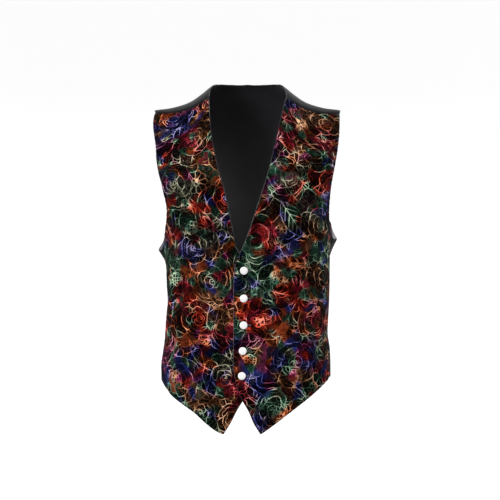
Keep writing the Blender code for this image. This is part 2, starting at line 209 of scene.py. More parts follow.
# Buttons from the top down, as (across, height), and a button's section: its crown's rise, how far the
# crown turns and its share of the button's width, its rim's roundness and half height, and its underside
# and shank from the rim inwards
BUTTONS = [(-7.4, -370), (-7.8, -427), (-8.2, -482), (-10, -535), (-11.6, -586)]
BUTTON_DIAMETER = 15.5
BUTTON_THICKNESS = 3.4
BUTTON_LIFT = 0.45
BUTTON_STEPS = 72
CROWN_RISE = 0.75
CROWN_TURN = 1.25
CROWN_SHARE = 0.9
CROWN_POINTS = 9
RIM_ROUND = 0.9
RIM_HALF = 1.0
RIM_START = 0.25
RIM_POINTS = 12
UNDERSIDE = [(4.2625, 0.3), (1.9, 0.2), (1.7, -0.7), (0, -0.7)]

# Worked buttonholes: from just before the button's middle towards the wearer's left
HOLE_START = -2.0
HOLE_LENGTH = 18.0
HOLE_HALF = 1.0
STITCH_LENGTH = 1.7
STITCH_WIDTH = 0.62
STITCH_HEIGHT = 0.35
# A stitch's middle and half height, as shares of its height
STITCH_RISE = (0.4, 0.6)
STITCH_SIDES = 6
# Places along a stitch, from -1 to 1, and how thick it is there
STITCH_STATIONS = [(-1.0, 0.35), (-0.6, 0.95), (0.0, 1.0), (0.6, 0.9), (1.0, 0.3)]
STITCH_STRAY = (0.85, 1.15)

# How a panel's edge is finished: a rolled satin edge, a turned edge, a seam or the edge of the closure,
# each with how far it stands out sideways, how far it rises above the panel, and which of the panel's
# materials it has
EDGES = {"rolled": (1.5, 0.35, 1), "turned": (1.0, 0.0, 2), "seam": (0.1, 0.0, 0), "closure": (1.0, 0.25, 4)}
INSIDE_FINISH = 3
# Turns of the rings over an edge, and the sine by which a ring has its whole rise
EDGE_ANGLES = (14, 38, 66, 90, 114, 142, 166, 180)
EDGE_SWELL = 0.24
EDGE_BLENDS = 4
EDGE_INSET = 1.5
SEAM_PRESS = (1.0, 3.0)

# Relief of the velvet: how deep the burnt lines lie, and how far the pile rises between them
LINE_DEPTH = 0.35
LINE_EDGE = (0.3, 1.9)
PILE_RISE = 0.3
PILE_SPREAD = (1.5, 7.0)

# Dyes of the velvet, as each tints the burnt lines and the pile, and each one's share of the cloth
DYES = table(
    "line_r line_g line_b pile_r pile_g pile_b share",
    (0.58, 0.13, 0.035, 0.038, 0.006, 0.002, 0.18),
    (0.48, 0.21, 0.10, 0.010, 0.004, 0.003, 0.10),
    (0.28, 0.28, 0.19, 0.004, 0.004, 0.003, 0.11),
    (0.20, 0.38, 0.25, 0.002, 0.008, 0.005, 0.15),
    (0.08, 0.20, 0.13, 0.002, 0.006, 0.004, 0.08),
    (0.42, 0.028, 0.05, 0.020, 0.002, 0.003, 0.10),
    (0.38, 0.05, 0.16, 0.013, 0.002, 0.006, 0.04),
    (0.66, 0.05, 0.02, 0.042, 0.002, 0.002, 0.09),
    (0.09, 0.10, 0.37, 0.002, 0.003, 0.016, 0.13),
    (0.25, 0.18, 0.30, 0.004, 0.003, 0.006, 0.04),
)
DYE_PATCH = 54.0
DYE_PATCH_BLUR = 3.5
DYE_FLECK = 18.0
DYE_FLECK_BLUR = 1.6
DYE_FLECK_SHARE = 0.42
DYE_WANDER = 0.3
OWN_DYE_SHARE = 0.24

# How strongly the dye fills the pile of one shape: the share of shapes, and the range of strengths
FLOODS = table("share low high", (0.58, 0.15, 0.5), (0.28, 0.7, 1.3), (0.14, 1.6, 2.8))

# The burnt lines' half widths, how far they fray, how soft their edges are, and how far their dye glows
# into the pile. Then the cells of a seed head, and their walls' two sides as shares of a cell
LINE_HALF = (0.28, 0.64)
LINE_FRAY = 0.14
LINE_SOFT = (-0.25, 0.25)
GLOW_REACH = 4.5
SEED_CELL = 6.5
SEED_WALL = (0.05, 0.13)
# Painted glints in streaks along the brush strokes of the pile: lumps to a millimetre across them, along them
# and from shape to shape
STROKE_SCALE = (0.45, 0.06, 3.7)

# Mottling of the cloths: the size of its lumps, their detail and roughness, and the range of the noise
# that goes softly from one value to the other
MOTTLES = {
    "line_width": (8.0, 2.0, 0.5, (0.3, 0.7), LINE_HALF),
    "zone": (46.0, 1.0, 0.5, (0.38, 0.64), (0.07, 1.4)),
    "crushed": (10.0, 3.0, 0.7, (0.32, 0.68), (0.3, 1.7)),
    "fibres": (0.9, 2.0, 0.7, (0.25, 0.75), (0.4, 1.6)),
    "glow": (13.0, 2.0, 0.5, (0.48, 0.68), (0.0, 0.12)),
    # Pale specks in the pile: painted glints of the pile catching the light
    "painted_glint_specks": (2.8, 2.0, 0.6, (0.58, 0.72), (0.0, 0.14)),
    # Uneven brightness along the lines; where it is highest the lines turn pale, a painted highlight
    "patchy_tone_and_highlight": (30.0, 2.0, 0.6, (0.40, 0.66), (0.1, 1.55)),
    "threads": (1.6, 2.0, 0.7, (0.25, 0.75), (0.6, 1.4)),
    "ground": (3.0, 3.0, 0.7, (0.42, 0.62), (0.0, 1.0)),
}
# Satins: colour, roughness, specular level, sheen, and how deep the crumples are
SATINS = {
    "black_satin": ((0.0025, 0.0023, 0.0035), 0.3, 0.1, 0.0, 0.8),
    "rolled_satin": ((0.005, 0.0045, 0.006), 0.22, 0.24, 0.0, 0.1),
    "inside_cloth": ((0.013, 0.012, 0.014), 0.42, 0.3, 0.06, 0.5),
}
# The ground that shows at the velvet's turned edges. The closure's is lighter, a painted highlight of its
# edge catching the light
GROUNDS = {"turned_velvet": (0.05, 0.035, 0.05), "closure_velvet_painted_highlight": (0.16, 0.13, 0.16)}
# The pearl's colours along its bands
PEARL_COLOURS = [(0.35, (0.66, 0.60, 0.63, 1)), (0.5, (0.69, 0.68, 0.68, 1)), (0.65, (0.60, 0.65, 0.63, 1))]

# The cloth that the drawing covers, in places across and along
DRAWN_ACROSS = (-330.0, 300.0)
DRAWN_RUN = (-790.0, 10.0)
RIGHT_FRONT_SHIFT = np.array([-63.0, 21.0])
ROW_SPACING = 0.87
SEED = 20

# Motifs from the bottom layer up: the distance between their middles, how far each strays, and its size
LAYERS = [
    ("petal", 48.0, 0.35, (29.0, 40.0)),
    ("leaf", 86.0, 0.4, (54.0, 86.0)),
    ("daisy", 122.0, 0.35, (22.0, 30.0)),
    ("bud", 100.0, 0.45, (12.0, 17.0)),
    ("rose", 104.0, 0.26, (35.0, 46.0)),
    ("seeds", 104.0, 0.4, (10.0, 15.0)),
    ("twig", 72.0, 0.45, (26.0, 46.0)),
]
# A petal's outline has waves of these counts, with sizes up to this share divided by the count
PETAL_WAVES = (2, 3, 5, 8, 12)
PETAL_WAVE = 0.24
# The small turn, in radians, that finds an outline's slope
TURN_STEP = 0.02
# Rings of a rose's petals, from the outermost: how far out the petals' middles lie, how many there are,
# and the half length and half width of each, all but the count as shares of the rose's size
ROSE_RINGS = [(0.64, 5, 0.46, 0.62), (0.36, 4, 0.36, 0.46), (0.14, 3, 0.22, 0.28)]
ROSE_CURL = 5.0
LEAF_VEINS = (13.0, 21.0)
BUD_SPREAD = 0.8

# Signed distances to the burnt lines are kept in channels, so that a line stays whole between the mesh's
# points: shapes take the first ones in turn, and then come veins and twigs
SHAPE_CHANNELS = 4
VEINS = 4
TWIGS = 5
CHANNELS = 6
LINE_ATTRIBUTES = {"lines_low": [0, 1, 2], "lines_high": [3, 4, 5]}
FAR = 9.0

# Studio, in metres, but for the camera's lens and sensor
CAMERA_PLACE = (0.005, -3.5, -0.328)
CAMERA_LENS = 123.0
CAMERA_SENSOR = 36.0
FLOOR_HEIGHT = -1.35
STUDIO_RADIUS = 7.0
STUDIO_CORNER = 2.0
STUDIO_TOP = 6.0
STUDIO_STEPS = 96
STUDIO_CORNER_STEPS = 12
STUDIO_MERGE = 0.0001
# The sky's strength goes from one value to the other over these upward parts of its direction
WORLD_RISE = (-0.6, 0.7)
WORLD_STRENGTH = (0.25, 0.9)
# Each lamp's place, width, height and watts
LAMPS = {
    "left_softbox": ((-1.9, -2.4, 0.4), 1.0, 1.8, 100),
    "right_softbox": ((2.0, -2.2, 0.5), 1.0, 1.8, 20),
    "top_softbox": ((0, -0.4, 2.2), 1.6, 1.2, 14),
    "back_left_softbox": ((2.4, 1.7, 0.7), 0.8, 1.8, 64),
    "back_right_softbox": ((-2.5, 1.5, 0.3), 0.7, 1.6, 36),
}
LAMP_TARGET = (0, 0, -0.35)


def smooth(knots, values, at):
    """A smooth curve through the knots, with its slopes from the neighbours."""
    slopes = np.gradient(values, knots)
    at = np.clip(at, knots[0], knots[-1])
    i = np.clip(np.searchsorted(knots, at) - 1, 0, len(knots) - 2)
    width = knots[i + 1] - knots[i]
    t = (at - knots[i]) / width
    start = values[i] * (1 + 2 * t) * (1 - t) ** 2 + slopes[i] * width * t * (1 - t) ** 2
    end = values[i + 1] * t * t * (3 - 2 * t) + slopes[i + 1] * width * t * t * (t - 1)
    return start + end


def ease(low, high, at):
    """0 below low and 1 above high, with a soft change between."""
    t = np.clip((at - low) / (high - low), 0, 1)
    return t * t * (3 - 2 * t)


RUNS = np.linspace(PROFILE["run"][0], PROFILE["run"][-1], OUTLINE_STEPS)
HEIGHTS = smooth(PROFILE["run"], PROFILE["height"], RUNS)


def profile(column, run):
    return smooth(PROFILE["run"], PROFILE[column], run)


def ring(column, height):
    return smooth(WIDTHS["height"], WIDTHS[column], height)


def shoulder_rise(across, height):
    """How far the shoulder line lifts a place of that nominal height."""
    return ease(*SHOULDER_BLEND, height) * smooth(RIDGE["across"], RIDGE["rise"], np.abs(across))


def run_at(height, side):
    """The run of a nominal height, on the back for side 1 and on the front for side -1."""
    chosen = RUNS * side >= 0
    order = np.argsort(HEIGHTS[chosen])
    return np.interp(height, HEIGHTS[chosen][order], RUNS[chosen][order])


def half_width(across, height):
    return np.where(np.asarray(across) < 0, ring("right", height), ring("left", height))


def bearing_of(across, run):
    """The bearing of a place at that distance across, on the sheet of that run."""
    height = profile("height", run)
    square = ring("square", height)
    x = np.clip(across / half_width(across, height), -WIDTH_LIMIT, WIDTH_LIMIT)
    y = (1 - np.abs(x) ** square) ** (1 / square)
    return np.degrees(np.arctan2(y, x))


def place_in_view(across, height, side):
    """(bearing, run) of a place given as the front or back view shows it."""
    runs = RUNS[RUNS * side >= 0]
    shown = profile("height", runs) + shoulder_rise(across, profile("height", runs))
    order = np.argsort(shown)
    run = float(np.interp(height, shown[order], runs[order]))
    return float(bearing_of(across, run)), run


def place_seen(across, height):
    """(bearing, run) on the fronts of a place given where the tabled view shows it."""
    place = place_in_view(across, height, -1)
    for _ in range(VIEW_ROUNDS):
        nearness = 1 + form(*place)[1] / VIEW_DISTANCE
        x = VIEW_ACROSS + (across - VIEW_ACROSS) * nearness
        z = VIEW_HEIGHT + (height - VIEW_HEIGHT) * nearness
        place = place_in_view(x, z, -1)
    return place


def place_at_side(behind, height, left, side):
    """(bearing, run) near the side line, where behind is the depth past it. side is the sheet of the run."""
    run = float(run_at(height, side))
    depth = abs(float(profile("depth", run_at(height, 1 if behind > 0 else -1))))
    square = float(ring("square", height))
    y = min(abs(behind) / depth, DEPTH_LIMIT)
    angle = math.degrees(math.atan2(y, (1 - y**square) ** (1 / square)))
    if np.sign(behind) != side:
        angle = -angle
    return (angle if left else 180 - angle), run


def form(bearing, run):
    """Points of the form, in millimetres. A bearing past a side goes on round the other sheet."""
    bearing, run = np.broadcast_arrays(np.asarray(bearing, float), np.asarray(run, float))
    past = (bearing < 0) | (bearing > 180)
    height = profile("height", run)
    run = np.where(past, np.where(run < 0, run_at(height, 1), run_at(height, -1)), run)
    bearing = np.radians(np.where(bearing < 0, -bearing, np.where(bearing > 180, 360 - bearing, bearing)))
    square = ring("square", height)
    cos, sin = np.cos(bearing), np.sin(bearing)
    radius = (np.abs(cos) ** square + np.abs(sin) ** square) ** (-1 / square)
    x = half_width(cos, height) * radius * cos
    y = profile("depth", run) * radius * sin
    return np.stack([x, y, height + shoulder_rise(x, height)], -1)


def fold_relief(folds, points, run):
    """Height of the soft folds at these points of the form."""
    relief = np.zeros(run.shape)
    for top_x, top_run, low_x, low_run, wide, rise in folds:
        along = np.clip((run - top_run) / (low_run - top_run), 0, 1)
        across = (points[..., 0] - top_x - (low_x - top_x) * along) / wide
        relief += rise * np.exp(-across * across) * np.sin(math.pi * along) ** FOLD_FADE
    return relief


def crease_relief(creases, points, run):
    """Height of the lesser creases, each fading out at both its ends."""
    relief = np.zeros(run.shape)
    for start_x, start_run, end_x, end_run, wide, rise in creases:
        length = math.hypot(end_x - start_x, end_run - start_run)
        along_x, along_run = (end_x - start_x) / length, (end_run - start_run) / length
        x, y = points[..., 0] - start_x, run - start_run
        along = np.clip((x * along_x + y * along_run) / length, 0, 1)
        bow = CREASE_BOW * length * np.sin(math.pi * along)
        across = (y * along_x - x * along_run + bow) / wide
        relief += rise * np.exp(-across * across) * np.sin(math.pi * along)
    return relief


def bulge(points):
    """Sideways shift of the loose corners under the arms."""
    shift = np.zeros(points.shape[:-1])
    for side, height, behind, tall, deep, size in BULGES:
        near_z = np.clip(1 - np.abs(points[..., 2] - height) / tall, 0, 1)
        near_y = np.exp(-(((points[..., 1] - behind) / deep) ** 2))
        shift += side * size * near_z * near_y * ease(*BULGE_FADE, points[..., 0] * side)
    return shift


def outer_surface(places, folds, creases, lift):
    """The panel's outer side: the form, raised by its folds and by lift, which is a function of points."""
    bearing, run = places[..., 0], places[..., 1]
    points = form(bearing, run)
    along = form(bearing, run + FORM_STEP) - form(bearing, run - FORM_STEP)
    round_it = form(bearing + FORM_STEP, run) - form(bearing - FORM_STEP, run)
    normal = np.cross(along, round_it)
    normal /= np.linalg.norm(normal, axis=-1, keepdims=True)
    outward = np.sign(np.sum(normal * (points - FORM_MIDDLE), -1, keepdims=True))
    rise = fold_relief(folds, points, run) + crease_relief(creases, points, run) + lift(points)
    raised = points + normal * outward * rise[..., None]
    raised[..., 0] += bulge(points)
    return raised


def overlap_lift(points):
    """The left front rises over the right one along the closure."""
    return (FRONT_WALL + OVERLAP_GAP) * (1 - ease(*OVERLAP_FADE, points[..., 0]))


def no_lift(points):
    return np.zeros(points.shape[:-1])


def curve(places, count):
    """count + 1 places evenly along a smooth curve through the places."""
    places = np.array(places, float)
    steps = np.diff(places * [DEGREE_LENGTH, 1], axis=0)
    reach = np.concatenate([[0], np.cumsum(np.linalg.norm(steps, axis=1))])
    at = reach[-1] * np.linspace(0, 1, count + 1)
    return np.stack([smooth(reach, places[:, k], at) for k in (0, 1)], -1)


def seen(edge):
    return [place_seen(*place) for place in edge]


def measured(edge, side):
    """Places of an edge of the back, on the wearer's left for side 1 and on the right for side -1."""
    return [(float(bearing_of(side * x, run)), run) for x, run in edge]


def beside(edge, left, side):
    return [place_at_side(*place, left, side) for place in edge]


def on_back_sheet(places):
    """The same places of a side seam, named on the back's sheet."""
    bearing = np.where(places[:, 0] < 90, -places[:, 0], 360 - places[:, 0])
    return np.stack([bearing, run_at(profile("height", places[:, 1]), 1)], -1)


def joined(*curves):
    """Curves end to end, with each corner named once."""
    return np.concatenate([curves[0], *[c[1:] for c in curves[1:]]])


def patch(inner, outer, bottom, top):
    """A grid of places filled in from its four edges."""
    s = np.linspace(0, 1, len(bottom))[None, :, None]
    t = np.linspace(0, 1, len(inner))[:, None, None]
    across = (1 - s) * inner[:, None] + s * outer[:, None]
    along = (1 - t) * bottom[None] + t * top[None]
    low_corners = (1 - s) * (1 - t) * inner[0] + s * (1 - t) * outer[0]
    return across + along - (low_corners + (1 - s) * t * inner[-1] + s * t * outer[-1])


def front_places(edges, left):
    """The grid of a front, from its point at the hem to the shoulder seam."""
    inner = joined(
        curve(seen(edges["cutaway"]), CUTAWAY_ROWS),
        curve(seen(edges["centre"]), CENTRE_ROWS),
        curve(seen(edges["neckline"]), NECKLINE_ROWS),
    )
    seam = beside(edges["seam"], left, -1)
    outer = joined(curve(seam, SEAM_ROWS), curve([seam[-1], *seen(edges["armhole"])], NECKLINE_ROWS))
    bottom = curve([*seen(edges["hem"]), seam[0]], FRONT_COLUMNS)
    return patch(inner, outer, bottom, np.linspace(inner[-1], outer[-1], FRONT_COLUMNS + 1))


def back_half_places(front, edges, left):
    """The two grids of half of the back, from its middle outwards: below the arm's level, and above it."""
    side = 1 if left else -1
    seam = on_back_sheet(front[: SEAM_ROWS + 1 : SEAM_ROWS // BACK_SEAM_ROWS, -1])
    seam[:, 0] += side * SEAM_GAP / SIDE_DEGREE_LENGTH
    shoulder = np.linspace(*(front[-1][[0, -1]] + [0, SEAM_GAP]), BACK_SHOULDER_COLUMNS + 1)

    hem = [(90 - side * (90 - b), float(run_at(z, 1))) for b, z in BACK_HEM]
    neck = measured(BACK_NECKLINE, side)
    under = curve([*beside(edges["underarm"], left, 1)[::-1], seam[-1]], UNDERARM_COLUMNS)
    middle = (90.0, ARM_LEVEL_RUN)
    inner_columns = BACK_NECK_COLUMNS + BACK_SHOULDER_COLUMNS
    level = np.linspace(middle, under[0], inner_columns + 1)
    lower = patch(
        curve([hem[0], middle], BACK_SEAM_ROWS),
        seam,
        curve([*hem, seam[0]], inner_columns + UNDERARM_COLUMNS),
        joined(level, under),
    )
    upper = patch(
        curve([middle, neck[0]], BACK_UPPER_ROWS),
        curve([under[0], *measured(BACK_ARMHOLE, side), shoulder[-1]], BACK_UPPER_ROWS),
        level,
        joined(curve([*neck, shoulder[0]], BACK_NECK_COLUMNS), shoulder),
    )
    return lower, upper


# Sheets


def borders(index):
    """A grid's first row, last column, last row and first column, each with the line next further in."""
    return [
        np.stack([lines[edge], lines[further_in]])
        for lines, edge, further_in in ((index, 0, 1), (index.T, -1, -2), (index, -1, -2), (index.T, 0, 1))
    ]


def strip(border, edge):
    """A stretch of a panel's edge: its points, the points next to them further in, and how it is finished."""
    return [(int(i), int(j), edge) for i, j in border.T]


def corners_of(index, *corners):
    """The point diagonally further in from each of these corners of a grid."""
    further_in = {0: 1, -1: -2}
    return {int(index[i, j]): int(index[further_in[i], further_in[j]]) for i, j in corners}


def front_sheet(places):
    """The sheet of a front."""
    index = np.arange(places.shape[0] * places.shape[1]).reshape(places.shape[:2])
    bottom, outer, top, inner = borders(index)
    loop = [
        *strip(bottom[:, :-1], "turned"),
        *strip(outer[:, :SEAM_ROWS], "seam"),
        *strip(outer[:, SEAM_ROWS:-1], "rolled"),
        *strip(top[:, :0:-1], "seam"),
        *strip(inner[:, :SEAM_ROWS:-1], "rolled"),
        *strip(inner[:, SEAM_ROWS:CUTAWAY_ROWS:-1], "closure"),
        *strip(inner[:, CUTAWAY_ROWS:0:-1], "turned"),
    ]
    corners = corners_of(index, (0, 0), (-1, -1), (0, -1), (-1, 0))
    return places.reshape(-1, 2), [index], [(i, corners.get(i, j), edge) for i, j, edge in loop]


def back_sheet(halves):
    """The sheet of the back, from its two halves."""
    (left_low, left_high), (right_low, right_high) = halves
    low = np.concatenate([left_low[:, ::-1], right_low[:, 1:]], 1)
    high = np.concatenate([left_high[:, ::-1], right_high[:, 1:]], 1)
    under = UNDERARM_COLUMNS
    right_end = low.shape[1] - 1 - under
    low_index = np.arange(low.shape[0] * low.shape[1]).reshape(low.shape[:2])
    new = low_index.size + np.arange((high.shape[0] - 1) * high.shape[1]).reshape(-1, high.shape[1])
    high_index = np.concatenate([low_index[-1:, under : right_end + 1], new])
    bottom, right, level, left = borders(low_index)
    _, upper_right, top, upper_left = borders(high_index)
    shoulder = BACK_SHOULDER_COLUMNS
    top = top[:, :0:-1]
    loop = [
        *strip(bottom[:, :-1], "turned"),
        *strip(right[:, :-1], "seam"),
        *strip(level[:, :right_end:-1], "rolled"),
        *strip(upper_right[:, :-1], "rolled"),
        *strip(top[:, :shoulder], "seam"),
        *strip(top[:, shoulder:-shoulder], "rolled"),
        *strip(top[:, -shoulder:], "seam"),
        *strip(upper_left[:, :0:-1], "rolled"),
        *strip(level[:, under:0:-1], "rolled"),
        *strip(left[:, :0:-1], "seam"),
    ]
    corners = corners_of(low_index, (0, 0), (0, -1), (-1, 0), (-1, -1))
    corners |= corners_of(high_index, (-1, 0), (-1, -1))
    places = np.concatenate([low.reshape(-1, 2), high[1:].reshape(-1, 2)])
    return places, [low_index, high_index], [(i, corners.get(i, j), edge) for i, j, edge in loop]


def faces_of(index):
    """The faces of a grid of indices."""
    return np.stack([index[:-1, :-1], index[:-1, 1:], index[1:, 1:], index[1:, :-1]], -1).reshape(-1, 4)


def normals_of(points, faces):
    """Unit normals at the points of a sheet."""
    a, b, c, d = (points[faces[:, k]] for k in range(4))
    face_normals = np.cross(c - a, d - b)
    normals = np.zeros(points.shape)
    for k in range(4):
        np.add.at(normals, faces[:, k], face_normals)
    return normals / np.linalg.norm(normals, axis=1, keepdims=True)


def distance_to(points, edge):
    """How far each point is from the nearest point of an edge."""
    tree = KDTree(len(edge))
    for i, point in enumerate(edge):
        tree.insert(point, i)
    tree.balance()
    return np.array([tree.find(point)[2] for point in points])


# Cloth coordinates


CLOTH_BEARINGS = np.linspace(*MEASURED_BEARINGS)
CLOTH_RUNS = np.linspace(PROFILE["run"][0], PROFILE["run"][-1], MEASURED_RUNS)


def cloth_table():
    """Distance along the form's rings from the middle, for each bearing and run."""
    points = form(CLOTH_BEARINGS[:, None], CLOTH_RUNS[None, :])
    steps = np.linalg.norm(np.diff(points, axis=0), axis=-1)
    reach = np.concatenate([np.zeros((1, len(CLOTH_RUNS))), np.cumsum(steps, axis=0)])
    return reach[np.argmin(np.abs(CLOTH_BEARINGS - 90))] - reach


CLOTH_ACROSS = cloth_table()


def on_cloth(places):
    """(across, run) on the cut cloth for places on the form."""
    cells = []
    for at, knots in zip(places.T, (CLOTH_BEARINGS, CLOTH_RUNS)):
        cell = np.clip((at - knots[0]) / (knots[1] - knots[0]), 0, len(knots) - 1.001)
        cells.append((cell.astype(int), cell - cell.astype(int)))
    (i, s), (j, t) = cells
    low = CLOTH_ACROSS[i, j] * (1 - s) + CLOTH_ACROSS[i + 1, j] * s
    high = CLOTH_ACROSS[i, j + 1] * (1 - s) + CLOTH_ACROSS[i + 1, j + 1] * s
    return np.stack([low * (1 - t) + high * t, places[:, 1]], -1)


# The drawing on the velvet. Lines are burnt out, and every shape covers what lies under it


class Drawing:
    """The velvet's design at the cloth's points: how far each is from the burnt lines, how strongly the dye
    fills its pile, whether it lies in a seed head, the dye that its own shape has, or -1, and its place
    among the brush strokes of its shape."""

    def __init__(self, cloth):
        self.cloth = cloth
        self.order = np.argsort(cloth[:, 1])
        self.runs = cloth[self.order, 1]
        self.lines = np.full((CHANNELS, len(cloth)), FAR)
        self.turn = 0
        self.flood = np.ones(len(cloth))
        self.seeds = np.zeros(len(cloth))
        self.own_dye = np.full(len(cloth), -1)
        self.strokes = np.column_stack([cloth, np.zeros(len(cloth))])

    def near(self, centre, angle, reach):
        """The points within reach of a motif's middle, and their places on the motif's own axes."""
        low, high = np.searchsorted(self.runs, [centre[1] - reach, centre[1] + reach])
        near = self.order[low:high]
        near = near[np.abs(self.cloth[near, 0] - centre[0]) < reach]
        offset = self.cloth[near] - centre
        cos, sin = math.cos(angle), math.sin(angle)
        return near, offset[:, 0] * cos + offset[:, 1] * sin, offset[:, 1] * cos - offset[:, 0] * sin

    def cover(self, near, signed, strokes, rng, seeds=0.0):
        """A closed shape, whose outline is burnt. signed is the distance to it, negative inside. strokes
        are the places across and along the brush strokes of its pile."""
        inside = near[signed < 0]
        channel = self.turn % SHAPE_CHANNELS
        self.turn += 1
        own = self.lines[channel, near]
        own = np.where((signed < 0) | (np.abs(signed) < np.abs(own)), np.clip(signed, -FAR, FAR), own)
        self.lines[:, inside] = np.where(self.lines[:, inside] < 0, -FAR, FAR)
        self.lines[channel, near] = own
        kind = rng.choice(len(FLOODS["share"]), p=FLOODS["share"])
        self.flood[inside] = rng.uniform(FLOODS["low"][kind], FLOODS["high"][kind])
        dye = rng.integers(len(DYES["share"]))
        self.own_dye[inside] = dye if rng.random() < OWN_DYE_SHARE else -1
        self.seeds[inside] = seeds
        self.strokes[inside, :2] = np.stack(strokes, -1)[signed < 0]
        self.strokes[inside, 2] = self.turn

    def line(self, near, distance, channel=VEINS):
        """A burnt line on top of what is there. distance changes its sign at the line."""
        own = self.lines[channel, near]
        self.lines[channel, near] = np.where(np.abs(distance) < np.abs(own), distance, own)


def wavy_distance(x, y, long, wide, waves):
    """Signed distance to a wavy oval. waves are (count, size, phase)."""
    angle = np.arctan2(y, x)

    def radius(at):
        oval = 1 / np.sqrt((np.cos(at) / long) ** 2 + (np.sin(at) / wide) ** 2)
        return oval * (1 + sum(size * np.sin(count * at + phase) for count, size, phase in waves))

    here = radius(angle)
    slope = (radius(angle + TURN_STEP) - radius(angle - TURN_STEP)) / (2 * TURN_STEP)
    return (np.hypot(x, y) - here) / np.sqrt(1 + (slope / here) ** 2)


def evenly(turn, pitch):
    """Signed distance to lines a pitch apart, where turn counts the lines."""
    return np.sin(math.pi * turn) * pitch / math.pi


def fan(x, y, foot):
    """Places across and along strokes that spread from a foot behind the middle."""
    return np.arctan2(y, x + foot) * foot, np.hypot(x + foot, y)


def draw_petal(drawing, centre, angle, long, wide, rng, echo):
    """A wavy petal, with a second line that follows its outer edge in the share of petals that echo gives."""
    near, x, y = drawing.near(centre, angle, 1.35 * max(long, wide))
    waves = [(k, rng.uniform(0.3, 1) * PETAL_WAVE / k, rng.uniform(0, 2 * math.pi)) for k in PETAL_WAVES]
    signed = wavy_distance(x, y, long, wide, waves)
    drawing.cover(near, signed, fan(x, y, 1.4 * long), rng)
    if rng.random() < echo:
        deep = rng.uniform(0.24, 0.4) * min(long, wide) + 1.5
        inner = signed + deep + 2.5 * ease(0.3 * long, -0.3 * long, x)
        drawing.line(near[signed < 0], inner[signed < 0])


def draw_lone_petal(drawing, centre, angle, size, rng):
    draw_petal(drawing, centre, angle, size, 0.8 * size, rng, echo=0.5)


def draw_rose(drawing, centre, angle, size, rng):
    """Rings of petals, each ring over the one outside it, closing on a curled heart."""
    for out, count, long, wide in ROSE_RINGS:
        start = rng.uniform(0, 2 * math.pi)
        for k in range(count):
            at = start + 2 * math.pi * k / count + rng.normal(0, 0.16)
            place = centre + out * size * rng.uniform(0.86, 1.16) * np.array([math.cos(at), math.sin(at)])
            stretch = rng.uniform(0.9, 1.12, 2) * size
            draw_petal(drawing, place, at, long * stretch[0], wide * stretch[1], rng, echo=0.12)
    near, x, y = drawing.near(centre, angle, 0.2 * size)
    turn = np.hypot(x, y) / ROSE_CURL - np.arctan2(y, x) / (2 * math.pi)
    inside = np.hypot(x, y) < 0.17 * size
    drawing.line(near[inside], evenly(turn, ROSE_CURL)[inside])


def draw_leaf(drawing, centre, angle, length, rng):
    """A pointed leaf with a midrib and feathered veins."""
    half = length / 2
    wide = half * rng.uniform(0.36, 0.5)
    near, x, y = drawing.near(centre, angle, 1.1 * half)
    y = y - rng.uniform(-0.12, 0.12) * half * (1 - (x / half) ** 2)
    arc = (half**2 + wide**2) / (2 * wide)
    signed = np.hypot(x, np.abs(y) + arc - wide) - arc
    signed = signed + 0.5 * np.sin(x * rng.uniform(0.5, 0.9))
    spread = rng.uniform(0.8, 1.3)
    drawing.cover(near, signed, (x - spread * np.abs(y), x + y), rng)
    pitch = rng.uniform(*LEAF_VEINS)
    veins = evenly((x - spread * np.abs(y)) / pitch, pitch) * math.cos(math.atan(spread))
    short = signed < -0.16 * wide
    drawing.line(near[short], veins[short])
    rib = signed < -0.5
    drawing.line(near[rib], y[rib], TWIGS)


def draw_seeds(drawing, centre, angle, size, rng):
    """A seed head, whose cells the material draws."""
    near, x, y = drawing.near(centre, angle, 1.3 * size)
    signed = wavy_distance(x, y, size, 0.9 * size, [(5, 0.05, angle)])
    drawing.cover(near, signed, (x, y), rng, 1.0)


def draw_daisy(drawing, centre, angle, size, rng):
    """A flat flower of narrow petals round a seed head."""
    count = 2 * int(rng.integers(4, 6))
    near, x, y = drawing.near(centre, angle, 1.2 * size)
    around, out = np.arctan2(y, x), np.hypot(x, y)
    signed = (out - size * (0.8 + 0.2 * np.abs(np.cos(count * around / 2)) ** 0.6)) * 0.8
    drawing.cover(near, signed, (around * size, out), rng)
    turn = (around / (2 * math.pi) + 0.5 / count) * count
    inside = signed < 0
    drawing.line(near[inside], evenly(turn, 2 * math.pi / count * out)[inside])
    draw_seeds(drawing, centre, angle, 0.36 * size, rng)


def draw_bud(drawing, centre, angle, size, rng):
    """A drop-shaped bud with a fan of lines that start at its foot."""
    near, x, y = drawing.near(centre, angle, 1.9 * size)
    long = 1.25 * size
    signed = wavy_distance(x, y / (1 + 0.35 * x / size), long, 0.75 * size, [(3, 0.04, 0.6)])
    drawing.cover(near, signed, fan(x, y, long), rng)
    lines = evenly(np.arctan2(y, x + long) / BUD_SPREAD, BUD_SPREAD * np.hypot(x + long, y))
    inside = (signed < 0) & (x < 0.6 * size)
    drawing.line(near[inside], lines[inside])


def stroke_distance(points, path):
    """Distance from the points to a path of straight stretches, negative on its right."""
    best = np.full(len(points), FAR)
    for a, b in zip(path, path[1:]):
        span = b - a
        offset = points - a
        along = np.clip(offset @ span / (span @ span), 0, 1)
        away = np.linalg.norm(offset - along[:, None] * span, axis=1)
        away = np.where(span[0] * offset[:, 1] - span[1] * offset[:, 0] < 0, -away, away)
        best = np.where(np.abs(away) < np.abs(best), away, best)
    return best


